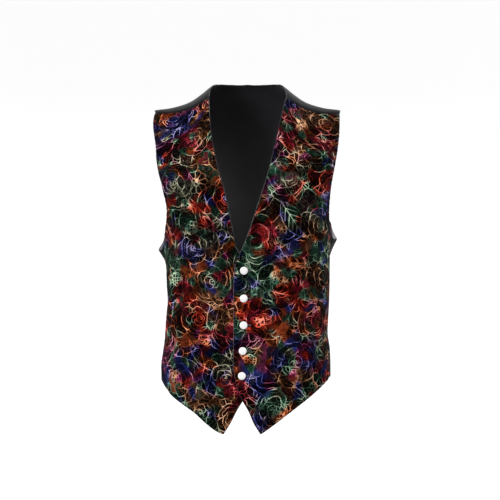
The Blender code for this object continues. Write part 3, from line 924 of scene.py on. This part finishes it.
def draw_twig(drawing, centre, angle, size, rng):
    """A curved stem with a few tendrils, drawn over what is there."""
    near, x, y = drawing.near(centre, angle, 1.3 * size)
    points = np.stack([x, y], -1)
    t = np.linspace(0, 1, 9)
    bend = rng.uniform(-0.5, 0.5) * size
    stem = np.stack([(t - 0.5) * 2 * size, bend * 4 * t * (1 - t)], -1)
    drawing.line(near, stroke_distance(points, stem), TWIGS)
    for _ in range(int(rng.integers(2, 5))):
        start = stem[int(rng.integers(2, 7))]
        lean = rng.uniform(0.5, 1.1) * rng.choice((-1, 1))
        reach = rng.uniform(0.25, 0.55) * size
        curl = np.array([[math.cos(lean * s), math.sin(lean * s)] for s in (0.5, 0.8, 1.2, 1.7)])
        tendril = start + np.concatenate([[[0, 0]], np.cumsum(curl * reach / 4, axis=0)])
        drawing.line(near, stroke_distance(points, tendril))


MOTIFS = {
    "leaf": draw_leaf,
    "petal": draw_lone_petal,
    "daisy": draw_daisy,
    "bud": draw_bud,
    "rose": draw_rose,
    "seeds": draw_seeds,
    "twig": draw_twig,
}


def scattered(spacing, stray, rng):
    """Places in staggered rows over the cloth, each strayed by a share of the spacing."""
    places = []
    for k, run in enumerate(np.arange(*DRAWN_RUN, spacing * ROW_SPACING)):
        for across in np.arange(DRAWN_ACROSS[0] + (k % 2) * spacing / 2, DRAWN_ACROSS[1], spacing):
            places.append(np.array([across, run]) + rng.uniform(-stray, stray, 2) * spacing)
    return places


def draw_design(cloth):
    """The whole design at these points of the cloth. Every front draws the same design from the same seed."""
    rng = np.random.default_rng(SEED)
    drawing = Drawing(cloth)
    for name, spacing, stray, sizes in LAYERS:
        for centre in scattered(spacing, stray, rng):
            angle = rng.uniform(0, 2 * math.pi)
            size = rng.uniform(*sizes)
            MOTIFS[name](drawing, centre, angle, size, rng)
    return drawing


def patches(cloth, spacing, blur, values, rng):
    """The values of a mosaic at each point. Each patch takes one row of values, and its borders are soft
    and wander."""
    wander = np.stack([np.sin(cloth[:, 1] * 2.1 / spacing), np.sin(cloth[:, 0] * 1.7 / spacing)], -1)
    bent = cloth / spacing + DYE_WANDER * wander
    cell = np.floor(bent).astype(int)
    low = cell.min(0) - 1
    size = cell.max(0) - low + 2
    strays = rng.uniform(0, 1, (*size, 2))
    chosen = rng.choice(len(values), tuple(size), p=values[:, -1] / values[:, -1].sum())
    reach, rows = [], []
    for step in np.ndindex(3, 3):
        i, j = (cell - low + step - 1).T
        centre = np.stack([i, j], -1) + low + strays[i, j]
        reach.append(np.linalg.norm(bent - centre, axis=1) * spacing)
        rows.append(values[chosen[i, j]])
    reach = np.array(reach)
    share = np.exp((reach.min(0) - reach) / blur)
    return np.einsum("kn,knc->nc", share / share.sum(0), np.array(rows))


def dye_colours(cloth, own_dye):
    """The dye on the lines and in the pile at each point: broad patches with flecks of other dyes in them,
    and some shapes whose pile has a dye of its own."""
    rng = np.random.default_rng(SEED + 1)
    dyes = np.stack(list(DYES.values()), -1)
    plain = np.zeros((1, dyes.shape[1] + 1))
    plain[0, -1] = (1 - DYE_FLECK_SHARE) * DYES["share"].sum()
    flecked = np.insert(dyes, 6, 1.0, axis=1)
    flecked[:, -1] *= DYE_FLECK_SHARE
    broad = patches(cloth, DYE_PATCH, DYE_PATCH_BLUR, dyes, rng)[:, :6]
    fleck = patches(cloth, DYE_FLECK, DYE_FLECK_BLUR, np.concatenate([flecked, plain]), rng)
    mixed = broad * (1 - fleck[:, 6:7]) + fleck[:, :6]
    return mixed[:, :3], np.where(own_dye[:, None] < 0, mixed[:, 3:], dyes[own_dye, 3:6])


# Materials


class Nodes:
    """A node tree in the making."""

    # Sockets of a Mix node of colours
    MIX_SHARE, MIX_A, MIX_B, MIX_RESULT = 0, 6, 7, 2

    def __init__(self, tree):
        self.tree = tree

    def put(self, value, socket):
        """Gives a socket a value or a link."""
        if isinstance(value, bpy.types.NodeSocket):
            self.tree.links.new(value, socket)
        else:
            socket.default_value = value

    def add(self, kind, inputs=(), **settings):
        """A node with its settings, and its inputs by name or number."""
        made = self.tree.nodes.new("ShaderNode" + kind)
        for name, value in settings.items():
            setattr(made, name, value)
        for socket, value in dict(inputs).items():
            self.put(value, made.inputs[socket])
        return made

    def math(self, operation, a, b=0.0):
        return self.add("Math", {0: a, 1: b}, operation=operation).outputs[0]

    def plus(self, a, b):
        return self.math("ADD", a, b)

    def times(self, a, b):
        return self.math("MULTIPLY", a, b)

    def between(self, share, a, b):
        """A value that goes evenly from a to b."""
        return self.plus(self.times(share, b - a), a)

    def step(self, value, span, ends):
        """A soft step over that span of a value, from one end to the other."""
        names = ("Value", "From Min", "From Max", "To Min", "To Max")
        inputs = dict(zip(names, (value, *span, *ends)))
        return self.add("MapRange", inputs, interpolation_type="SMOOTHSTEP").outputs["Result"]

    def mix(self, share, a, b, blend="MIX"):
        """Two colours mixed."""
        inputs = {self.MIX_SHARE: share, self.MIX_A: a, self.MIX_B: b}
        return self.add("Mix", inputs, data_type="RGBA", blend_type=blend).outputs[self.MIX_RESULT]


class Look(Nodes):
    """A Principled material in the making. Its textures lie on the cloth or, where a piece has no cloth
    coordinates, on the object, and their sizes are in millimetres."""

    def __init__(self, name, cloth=True, **values):
        self.material = bpy.data.materials.new(name)
        self.material.use_nodes = True
        super().__init__(self.material.node_tree)
        if cloth:
            self.place = self.add("UVMap", uv_map="cloth").outputs["UV"]
        else:
            self.place = self.add("TexCoord").outputs["Object"]
        self.use(**values)

    def use(self, **values):
        """Gives the shader's sockets their values or links, and returns the material."""
        shader = self.tree.nodes["Principled BSDF"]
        for name, value in values.items():
            self.put(value, shader.inputs[name.replace("_", " ")])
        return self.material

    def attribute(self, name, output):
        return self.add("Attribute", attribute_name=name).outputs[output]

    def noise(self, size, detail=2.0, rough=0.5):
        """Noise whose lumps are about this size."""
        inputs = {"Vector": self.place, "Scale": 1 / (size * MM), "Detail": detail, "Roughness": rough}
        return self.add("TexNoise", inputs).outputs["Fac"]

    def mottle(self, name):
        size, detail, rough, span, ends = MOTTLES[name]
        return self.step(self.noise(size, detail, rough), span, ends)

    def bump(self, height, distance, strength):
        inputs = {"Height": height, "Distance": distance * MM, "Strength": strength}
        return self.add("Bump", inputs).outputs["Normal"]


def line_gap(look):
    """Distance to the nearest burnt line, from the mesh's signed distances."""
    gap = FAR
    for name in LINE_ATTRIBUTES:
        for distance in look.add("SeparateXYZ", {"Vector": look.attribute(name, "Vector")}).outputs:
            gap = look.math("MINIMUM", look.math("ABSOLUTE", distance), gap)
    return gap


def painted_glint_streaks(look):
    """Pale streaks along the brush strokes of the pile: painted glints of the pile catching the light."""
    strokes = {"Vector": look.attribute("strokes", "Vector"), "Scale": STROKE_SCALE}
    stretched = look.add("Mapping", strokes).outputs["Vector"]
    streaks = look.add("TexNoise", {"Vector": stretched, "Scale": 1.0, "Detail": 1.0}).outputs["Fac"]
    return look.step(streaks, (0.6, 0.76), (0.0, 0.08))


def velvet_material():
    """Cut pile with lines burnt out of it. The dyes and the drawing come with the mesh."""
    sheen = {"Sheen_Weight": 0.05, "Sheen_Roughness": 0.3, "Sheen_Tint": (0.66, 0.6, 0.74, 1)}
    look = Look("burnt_velvet", Specular_IOR_Level=0.02, **sheen)
    gap = line_gap(look)
    frayed = look.plus(gap, look.between(look.noise(1.1, 1.0), -LINE_FRAY, LINE_FRAY))
    lines = look.step(look.math("SUBTRACT", frayed, look.mottle("line_width")), LINE_SOFT, (1.0, 0.0))
    cell_inputs = {"Vector": look.place, "Scale": 1 / (SEED_CELL * MM), "Randomness": 0.6}
    cells = look.add("TexVoronoi", cell_inputs, feature="DISTANCE_TO_EDGE").outputs["Distance"]
    walls = look.times(look.step(cells, SEED_WALL, (1.0, 0.0)), look.attribute("seeds", "Fac"))
    burnt = look.math("MAXIMUM", lines, walls)

    line_dye = look.attribute("line_dye", "Color")
    zone = look.mottle("zone")
    fibres = look.mottle("fibres")
    shade = look.times(look.times(look.mottle("crushed"), fibres), zone)
    pile = look.mix(1.0, look.attribute("pile_dye", "Color"), shade, "MULTIPLY")
    # The pile takes dye that bleeds from the lines, plus painted glints: pale streaks and specks that stand
    # for the pile catching the light
    near_line = look.times(look.step(gap, (0.0, GLOW_REACH), (1.0, 0.0)), look.mottle("glow"))
    glow = look.plus(look.times(look.plus(near_line, painted_glint_streaks(look)), zone), look.mottle("painted_glint_specks"))
    rich_dye = look.add("HueSaturation", {"Color": line_dye, "Saturation": 1.35}).outputs["Color"]
    pile = look.mix(1.0, pile, look.mix(1.0, rich_dye, glow, "MULTIPLY"), "ADD")

    # The lines' brightness varies along them, and the brightest stretches are mixed towards cream: painted
    # highlight
    bright = look.times(look.mottle("patchy_tone_and_highlight"), look.mottle("threads"))
    pale = look.mix(look.step(bright, (0.7, 1.5), (0.0, 0.28)), line_dye, (0.62, 0.5, 0.36, 1))
    line = look.mix(1.0, pale, bright, "MULTIPLY")
    height = look.math("SUBTRACT", look.times(fibres, 0.35), burnt)
    return look.use(
        Base_Color=look.mix(burnt, pile, line),
        Roughness=look.between(burnt, 0.92, 0.6),
        Normal=look.bump(height, distance=0.35, strength=0.7),
    )


def satin_material(name, colour, roughness, specular, sheen, crumple):
    """Smooth satin with a fine weave and shallow crumples."""
    gloss = {"Specular_IOR_Level": specular, "Sheen_Weight": sheen, "Anisotropic": 0.45}
    look = Look(name, Sheen_Tint=(0.8, 0.78, 0.9, 1), Sheen_Roughness=0.35, **gloss)
    weave_inputs = {"Vector": look.place, "Scale": 1 / (1.9 * MM), "Distortion": 1.5, "Detail": 1.0}
    weave = look.add("TexWave", weave_inputs, bands_direction="DIAGONAL").outputs["Fac"]
    fine = look.plus(look.times(weave, 0.03), look.times(look.noise(0.7, 1.0), 0.04))
    height = look.plus(look.times(look.noise(24.0, 3.0, 0.55), crumple), fine)
    shade = look.between(look.noise(30.0, 3.0), 0.75, 1.25)
    return look.use(
        Base_Color=look.mix(1.0, (*colour, 1), shade, "MULTIPLY"),
        Roughness=look.between(look.noise(14.0), roughness - 0.06, roughness + 0.08),
        Normal=look.bump(height, distance=1.0, strength=0.8),
    )


def edge_material(name, ground):
    """A turned edge of the velvet, where its pile lies over and shows its ground. The closure's lighter
    ground is a painted highlight.
    """
    gloss = {"Specular_IOR_Level": 0.1, "Sheen_Weight": 0.1, "Sheen_Roughness": 0.4, "Roughness": 0.7}
    look = Look(name, Sheen_Tint=(0.75, 0.66, 0.8, 1), **gloss)
    return look.use(
        Base_Color=look.mix(look.mottle("ground"), look.attribute("pile_dye", "Color"), (*ground, 1)),
        Normal=look.bump(look.noise(0.9, 2.0, 0.7), distance=0.3, strength=0.6),
    )


def pearl_material():
    """Pearl-white buttons with a faint play of pink and green."""
    gloss = {"Specular_IOR_Level": 0.6, "Coat_Weight": 0.6, "Coat_Roughness": 0.08, "Roughness": 0.25}
    look = Look("pearl", cloth=False, **gloss)
    bands = look.noise(4.5, 3.0, 0.6)
    ramp = look.add("ValToRGB", {"Fac": bands})
    stops = ramp.color_ramp.elements
    stops.new(0.5)
    for stop, (position, colour) in zip(stops, PEARL_COLOURS):
        stop.position = position
        stop.color = colour
    return look.use(Base_Color=ramp.outputs["Color"], Normal=look.bump(bands, distance=0.06, strength=0.5))


def thread_material():
    """Twisted sewing thread."""
    look = Look("thread", cloth=False, Roughness=0.6, Sheen_Weight=0.2)
    twist = look.noise(0.5, 1.0)
    return look.use(
        Base_Color=look.mix(twist, (0.012, 0.01, 0.014, 1), (0.05, 0.04, 0.05, 1)),
        Normal=look.bump(twist, distance=0.1, strength=0.6),
    )


def studio_material():
    """The pale floor and the curve behind it."""
    glow = {"Emission_Color": (1, 1, 1, 1), "Emission_Strength": 0.36}
    look = Look("studio_paper", cloth=False, Roughness=0.9, Specular_IOR_Level=0.1, **glow)
    grain = look.noise(60.0)
    return look.use(Base_Color=look.mix(grain, (0.9, 0.9, 0.905, 1), (0.92, 0.92, 0.925, 1)))


# Pieces


def new_mesh(name, points, faces, finishes, finish_of_face=None):
    """A smooth mesh from points in millimetres."""
    mesh = bpy.data.meshes.new(name)
    mesh.from_pydata((points * MM).tolist(), [], [list(f) for f in faces])
    for finish in finishes:
        mesh.materials.append(finish)
    if finish_of_face:
        mesh.polygons.foreach_set("material_index", np.asarray(finish_of_face, np.int32))
    mesh.shade_smooth()
    mesh.update()
    return mesh


def add_attribute(mesh, name, kind, values):
    """Values at the mesh's points, as numbers, vectors or colours."""
    made = mesh.attributes.new(name, kind, "POINT")
    if kind == "FLOAT_COLOR":
        values = np.concatenate([values, np.ones((len(values), 1))], 1)
    field = {"FLOAT": "value", "FLOAT_VECTOR": "vector", "FLOAT_COLOR": "color"}[kind]
    made.data.foreach_set(field, np.asarray(values, np.float32).ravel())


def add_cloth_coordinates(mesh, cloth):
    corners = np.zeros(len(mesh.loops), np.int32)
    mesh.loops.foreach_get("vertex_index", corners)
    mesh.uv_layers.new(name="cloth").data.foreach_set("uv", (cloth[corners] * MM).astype(np.float32).ravel())


def add_piece(name, mesh, node=None):
    """A piece of the waistcoat, in place of the solid of that node."""
    piece = bpy.data.objects.new(name, mesh)
    bpy.context.scene.collection.objects.link(piece)
    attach(piece, BODY)
    if node:
        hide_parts(node)
    return piece


def edge_rings(points, normals, loop, wall):
    """Rings of points round the edge of a wall, from its outer side over to its inner side, with the edge's
    points and the way out from each."""
    at = np.array([i for i, _, _ in loop])
    inward = np.array([j for _, j, _ in loop])
    wide, proud = np.array([EDGES[edge][:2] for _, _, edge in loop]).T
    for _ in range(EDGE_BLENDS):
        wide, proud = ((np.roll(row, 1) + row + np.roll(row, -1)) / 3 for row in (wide, proud))
    edge, normal = points[at], normals[at]
    along = np.roll(edge, -1, 0) - np.roll(edge, 1, 0)
    along /= np.linalg.norm(along, axis=1, keepdims=True)
    out = edge - points[inward]
    for direction in (along, normal):
        out -= np.sum(out * direction, 1, keepdims=True) * direction
    out /= np.maximum(np.linalg.norm(out, axis=1, keepdims=True), 1e-6)
    middle = edge - normal * wall / 2
    rings = []
    for turn in np.radians(EDGE_ANGLES):
        tall = (wall / 2 + proud * min(1.0, math.sin(turn) / EDGE_SWELL)) * math.cos(turn)
        rings.append(middle + normal * tall[:, None] + out * (wide * math.sin(turn))[:, None])
    return at, out, rings


def panel_mesh(name, points, normals, sheet, wall, step, finishes):
    """A panel with its outer side, its finished edge and its plainer inner side as one closed mesh. Returns
    it with the outer side's point that each of its points belongs to."""
    _, grids, loop = sheet
    at, out, rings = edge_rings(points, normals, loop, wall)
    count = len(at)
    faces = np.concatenate([faces_of(index) for index in grids]).tolist()
    finish = [0] * len(faces)
    upper = at
    for k in range(len(rings)):
        lower = len(points) + k * count + np.arange(count)
        faces += np.stack([np.roll(upper, -1), upper, lower, np.roll(lower, -1)], -1).tolist()
        finish += [EDGES[edge][2] for _, _, edge in loop]
        upper = lower

    inner_index = [index[::step, ::step] for index in grids]
    chosen = np.unique(np.concatenate([index.ravel() for index in inner_index]))
    inner_points = points[chosen] - normals[chosen] * wall
    new_start = len(points) + count * len(rings)
    new_of = {int(old): new_start + k for k, old in enumerate(chosen)}
    for position in range(0, count, step):
        inner_points[new_of[int(at[position])] - new_start] -= out[position] * EDGE_INSET
    for index in inner_index:
        faces += faces_of(np.vectorize(new_of.get)(index))[:, ::-1].tolist()

    # Triangles between the last ring and the coarser edge of the inner side
    last = upper[0]
    for position in range(count):
        here = position // step
        low = new_of[int(at[here * step])]
        high = new_of[int(at[(here + 1) * step % count])]
        nearer = high if position % step >= step // 2 else low
        faces.append([last + (position + 1) % count, last + position, nearer])
        if position % step == step // 2:
            faces.append([last + position, low, high])
    finish += [INSIDE_FINISH] * (len(faces) - len(finish))

    mesh = new_mesh(name, np.concatenate([points, *rings, inner_points]), faces, finishes, finish)
    return mesh, np.concatenate([np.arange(len(points)), *[at] * len(rings), chosen])


def facing_out(grids, points):
    """The grids, turned where needed so that their faces point away from the middle of the garment."""
    face = faces_of(grids[0])
    a, b, c, d = points[face[len(face) // 2]]
    away = (a + c) / 2 - [0, 0, (a[2] + c[2]) / 2]
    return [g[:, ::-1] if np.cross(c - a, d - b) @ away < 0 else g for g in grids]


def shaped(sheet, folds, creases, lift):
    """A sheet with its faces turned outwards, and the points and normals of its outer side."""
    places, grids, loop = sheet
    points = outer_surface(places, folds, creases, lift)
    grids = facing_out(grids, points)
    return (places, grids, loop), points, normals_of(points, np.concatenate([faces_of(g) for g in grids]))


def add_panel(node, sheet, points, normals, wall, step, finishes, attributes=()):
    """A panel, sunk a little along its seams, in place of its solid. attributes are (name, kind, values)."""
    places, _, loop = sheet
    near = distance_to(points, points[[i for i, _, edge in loop if edge == "seam"]])
    points = points - normals * (SEAM_PRESS[0] * (1 - ease(0, SEAM_PRESS[1], near)))[:, None]
    mesh, source = panel_mesh(node + "_cloth", points, normals, sheet, wall, step, finishes)
    add_cloth_coordinates(mesh, on_cloth(places)[source])
    for name, kind, values in attributes:
        add_attribute(mesh, name, kind, values[source])
    return add_piece(node + "_cloth", mesh, node)


def add_front(node, places, lift, shift, finishes):
    """A velvet front with its drawing, its relief and its dyes."""
    sheet, points, normals = shaped(front_sheet(places), FRONT_FOLDS, FRONT_CREASES, lift)
    cloth = on_cloth(sheet[0]) + shift
    drawing = draw_design(cloth)
    line_dye, pile_dye = dye_colours(cloth, drawing.own_dye)
    gap = np.abs(drawing.lines).min(0)
    relief = PILE_RISE * ease(*PILE_SPREAD, gap) - LINE_DEPTH * (1 - ease(*LINE_EDGE, gap))
    attributes = [
        *[(name, "FLOAT_VECTOR", drawing.lines[channels].T) for name, channels in LINE_ATTRIBUTES.items()],
        ("seeds", "FLOAT", drawing.seeds),
        ("strokes", "FLOAT_VECTOR", drawing.strokes),
        ("line_dye", "FLOAT_COLOR", line_dye),
        ("pile_dye", "FLOAT_COLOR", pile_dye * drawing.flood[:, None]),
    ]
    raised = points + normals * relief[:, None]
    return add_panel(
        node, sheet, raised, normals, FRONT_WALL, FRONT_INSIDE_STEP, finishes, attributes
    )


def add_back(halves, finishes):
    """The satin back in one piece."""
    sheet, points, normals = shaped(back_sheet(halves), BACK_FOLDS, BACK_CREASES, no_lift)
    return add_panel("back", sheet, points, normals, BACK_WALL, BACK_INSIDE_STEP, finishes)


def on_left_front(place):
    """Points on the left front's outer side."""
    return outer_surface(place, FRONT_FOLDS, FRONT_CREASES, overlap_lift)


def button_profile():
    """Half of a button's section with its shank, from the crown outwards and round, as (radius, height)."""
    radius = BUTTON_DIAMETER / 2
    crown = [
        (radius * math.sin(a) * CROWN_SHARE, BUTTON_THICKNESS - CROWN_RISE * (1 - math.cos(a)))
        for a in np.linspace(0, CROWN_TURN, CROWN_POINTS)
    ]
    rim = [
        (radius - RIM_ROUND * (1 - math.sin(a)), BUTTON_THICKNESS / 2 + RIM_HALF * math.cos(a))
        for a in np.linspace(RIM_START, math.pi, RIM_POINTS)
    ]
    return [*crown, *rim, *UNDERSIDE]


def add_button(name, across, height, finish):
    """A turned, domed button on the left front's outer side."""
    place = np.array(place_seen(across, height))
    here = on_left_front(place)
    down = on_left_front(place - [0, 1.0]) - here
    turned = math.pi / 2 + math.atan2(down[1], -down[2])
    section = button_profile()
    points = [
        (radius * math.cos(turn), radius * math.sin(turn), rise)
        for turn in np.linspace(0, 2 * math.pi, BUTTON_STEPS, endpoint=False)
        for radius, rise in section[1:-1]
    ]
    count = len(section) - 2
    crown, foot = len(points), len(points) + 1
    points = np.array([*points, (0, 0, section[0][1]), (0, 0, section[-1][1])])
    faces = []
    for k in range(BUTTON_STEPS):
        a, b = k * count, (k + 1) % BUTTON_STEPS * count
        faces.append([crown, a, b])
        faces += [[a + i, a + i + 1, b + i + 1, b + i] for i in range(count - 1)]
        faces.append([foot, b + count - 1, a + count - 1])
    y = points[:, 1] * math.cos(turned) - points[:, 2] * math.sin(turned)
    z = points[:, 1] * math.sin(turned) + points[:, 2] * math.cos(turned)
    placed = np.stack([points[:, 0], y, z], -1) + here + [0, -BUTTON_LIFT, 0]
    return add_piece(name + "_pearl", new_mesh(name + "_pearl", placed, faces, [finish]), name)


def round_the_hole(at, straight):
    """A place on a buttonhole's outline at a distance along it, and the way out from it. The outline's
    second half is the first half turned round."""
    half = straight + math.pi * HOLE_HALF
    turn = max(0.0, (at % half - straight) / HOLE_HALF)
    out = np.array([math.sin(turn), math.cos(turn)])
    place = [min(at % half, straight), 0] + HOLE_HALF * out
    return ([straight, 0] - place, -out) if at >= half else (place, out)


def add_buttonhole(name, across, height, finish):
    """The thread worked round a buttonhole, stitch by stitch, on the left front's outer side."""
    straight = HOLE_LENGTH - 2 * HOLE_HALF
    around = 2 * (straight + math.pi * HOLE_HALF)
    count = round(around / STITCH_WIDTH)
    sides = STITCH_SIDES
    points, faces = [], []
    rng = np.random.default_rng(SEED)
    for at in np.arange(count) * around / count:
        place, out = round_the_hole(at, straight)
        side = np.array([out[1], -out[0]])
        long = STITCH_LENGTH / 2 * rng.uniform(*STITCH_STRAY)
        start = len(points)
        for along, thick in STITCH_STATIONS:
            for turn in np.arange(sides) * 2 * math.pi / sides:
                flat = place + out * (along * long) + side * (math.cos(turn) * thick * STITCH_WIDTH / 2)
                rise = STITCH_RISE[0] + math.sin(turn) * thick * STITCH_RISE[1]
                points.append((*flat, STITCH_HEIGHT * rise))
        end = len(points) - sides
        for low in range(start, end, sides):
            steps = [(low + k, low + (k + 1) % sides) for k in range(sides)]
            faces += [[a, b, b + sides, a + sides] for a, b in steps]
        faces.append(list(range(start + sides - 1, start - 1, -1)))
        faces.append(list(range(end, end + sides)))
    points = np.array(points)
    ends = (across + HOLE_START, across + HOLE_START + HOLE_LENGTH)
    level, above = (np.array([place_seen(x, z) for x in ends]) for z in (height, height + 1))
    share = points[:, :1] / HOLE_LENGTH
    low = level[0] + share * (level[1] - level[0])
    up = above[0] + share * (above[1] - above[0]) - low
    placed = on_left_front(low + up * points[:, 1:2]) + [0, -1, 0] * points[:, 2:]
    return add_piece(name, new_mesh(name, placed, faces, [finish]))


# Studio


def add_object(name, data):
    made = bpy.data.objects.new(name, data)
    bpy.context.scene.collection.objects.link(made)
    return made


def add_studio(finish):
    """A pale floor that curves up into a wall on all sides."""
    corner = [
        (STUDIO_RADIUS - STUDIO_CORNER * (1 - math.sin(a)), FLOOR_HEIGHT + STUDIO_CORNER * (1 - math.cos(a)))
        for a in np.linspace(0, math.pi / 2, STUDIO_CORNER_STEPS + 1)
    ]
    section = [(0.0, FLOOR_HEIGHT), *corner, (STUDIO_RADIUS, STUDIO_TOP)]
    mesh = bpy.data.meshes.new("studio")
    mesh.from_pydata([(r, 0, z) for r, z in section], [(i, i + 1) for i in range(len(section) - 1)], [])
    mesh.materials.append(finish)
    studio = add_object("studio", mesh)
    turned = studio.modifiers.new("turned", "SCREW")
    turned.steps = turned.render_steps = STUDIO_STEPS
    turned.use_merge_vertices = True
    turned.merge_threshold = STUDIO_MERGE
    turned.use_smooth_shade = True
    studio.visible_shadow = False
    studio.visible_diffuse = False
    studio.visible_glossy = False


def add_camera():
    camera = bpy.data.cameras.new("camera")
    camera.lens = CAMERA_LENS
    camera.sensor_width = CAMERA_SENSOR
    made = add_object("camera", camera)
    made.location = CAMERA_PLACE
    made.rotation_euler = (math.pi / 2, 0, 0)
    bpy.context.scene.camera = made


def add_light():
    world = bpy.data.worlds.new("studio_light")
    world.use_nodes = True
    nodes = Nodes(world.node_tree)
    background = world.node_tree.nodes["Background"]
    background.inputs["Color"].default_value = (1, 1, 1, 1)
    direction = nodes.add("TexCoord").outputs["Generated"]
    upward = nodes.add("SeparateXYZ", {"Vector": direction}).outputs["Z"]
    nodes.put(nodes.step(upward, WORLD_RISE, WORLD_STRENGTH), background.inputs["Strength"])
    bpy.context.scene.world = world
    for name, (place, wide, tall, watts) in LAMPS.items():
        lamp = bpy.data.lights.new(name, "AREA")
        lamp.shape = "RECTANGLE"
        lamp.size, lamp.size_y = wide, tall
        lamp.energy = watts
        made = add_object(name, lamp)
        made.location = place
        made.rotation_euler = (Vector(LAMP_TARGET) - Vector(place)).to_track_quat("-Z", "Y").to_euler()
    bpy.context.scene.view_settings.view_transform = "Standard"


def main():
    add_camera()
    add_light()
    add_studio(studio_material())

    velvet = velvet_material()
    satin, rolled, inside = (satin_material(name, *look) for name, look in SATINS.items())
    # The closure's finish has a lighter ground: a painted highlight of its edge
    turned, closure = (edge_material(name, ground) for name, ground in GROUNDS.items())
    thread = thread_material()
    pearl = pearl_material()

    left = front_places(LEFT_EDGES, True)
    right = front_places(RIGHT_EDGES, False)
    halves = [back_half_places(left, LEFT_EDGES, True), back_half_places(right, RIGHT_EDGES, False)]
    finishes = [velvet, rolled, turned, inside, closure]
    front_left = add_front("front_left", left, overlap_lift, np.zeros(2), finishes)
    front_right = add_front("front_right", right, no_lift, RIGHT_FRONT_SHIFT, finishes)
    back = add_back(halves, [satin, rolled, satin, inside])
    places = list(enumerate(BUTTONS, 1))
    buttons = [add_button(f"button_{number}", *place, pearl) for number, place in places]
    holes = [add_buttonhole(f"buttonhole_{number}", *place, thread) for number, place in places]


main()
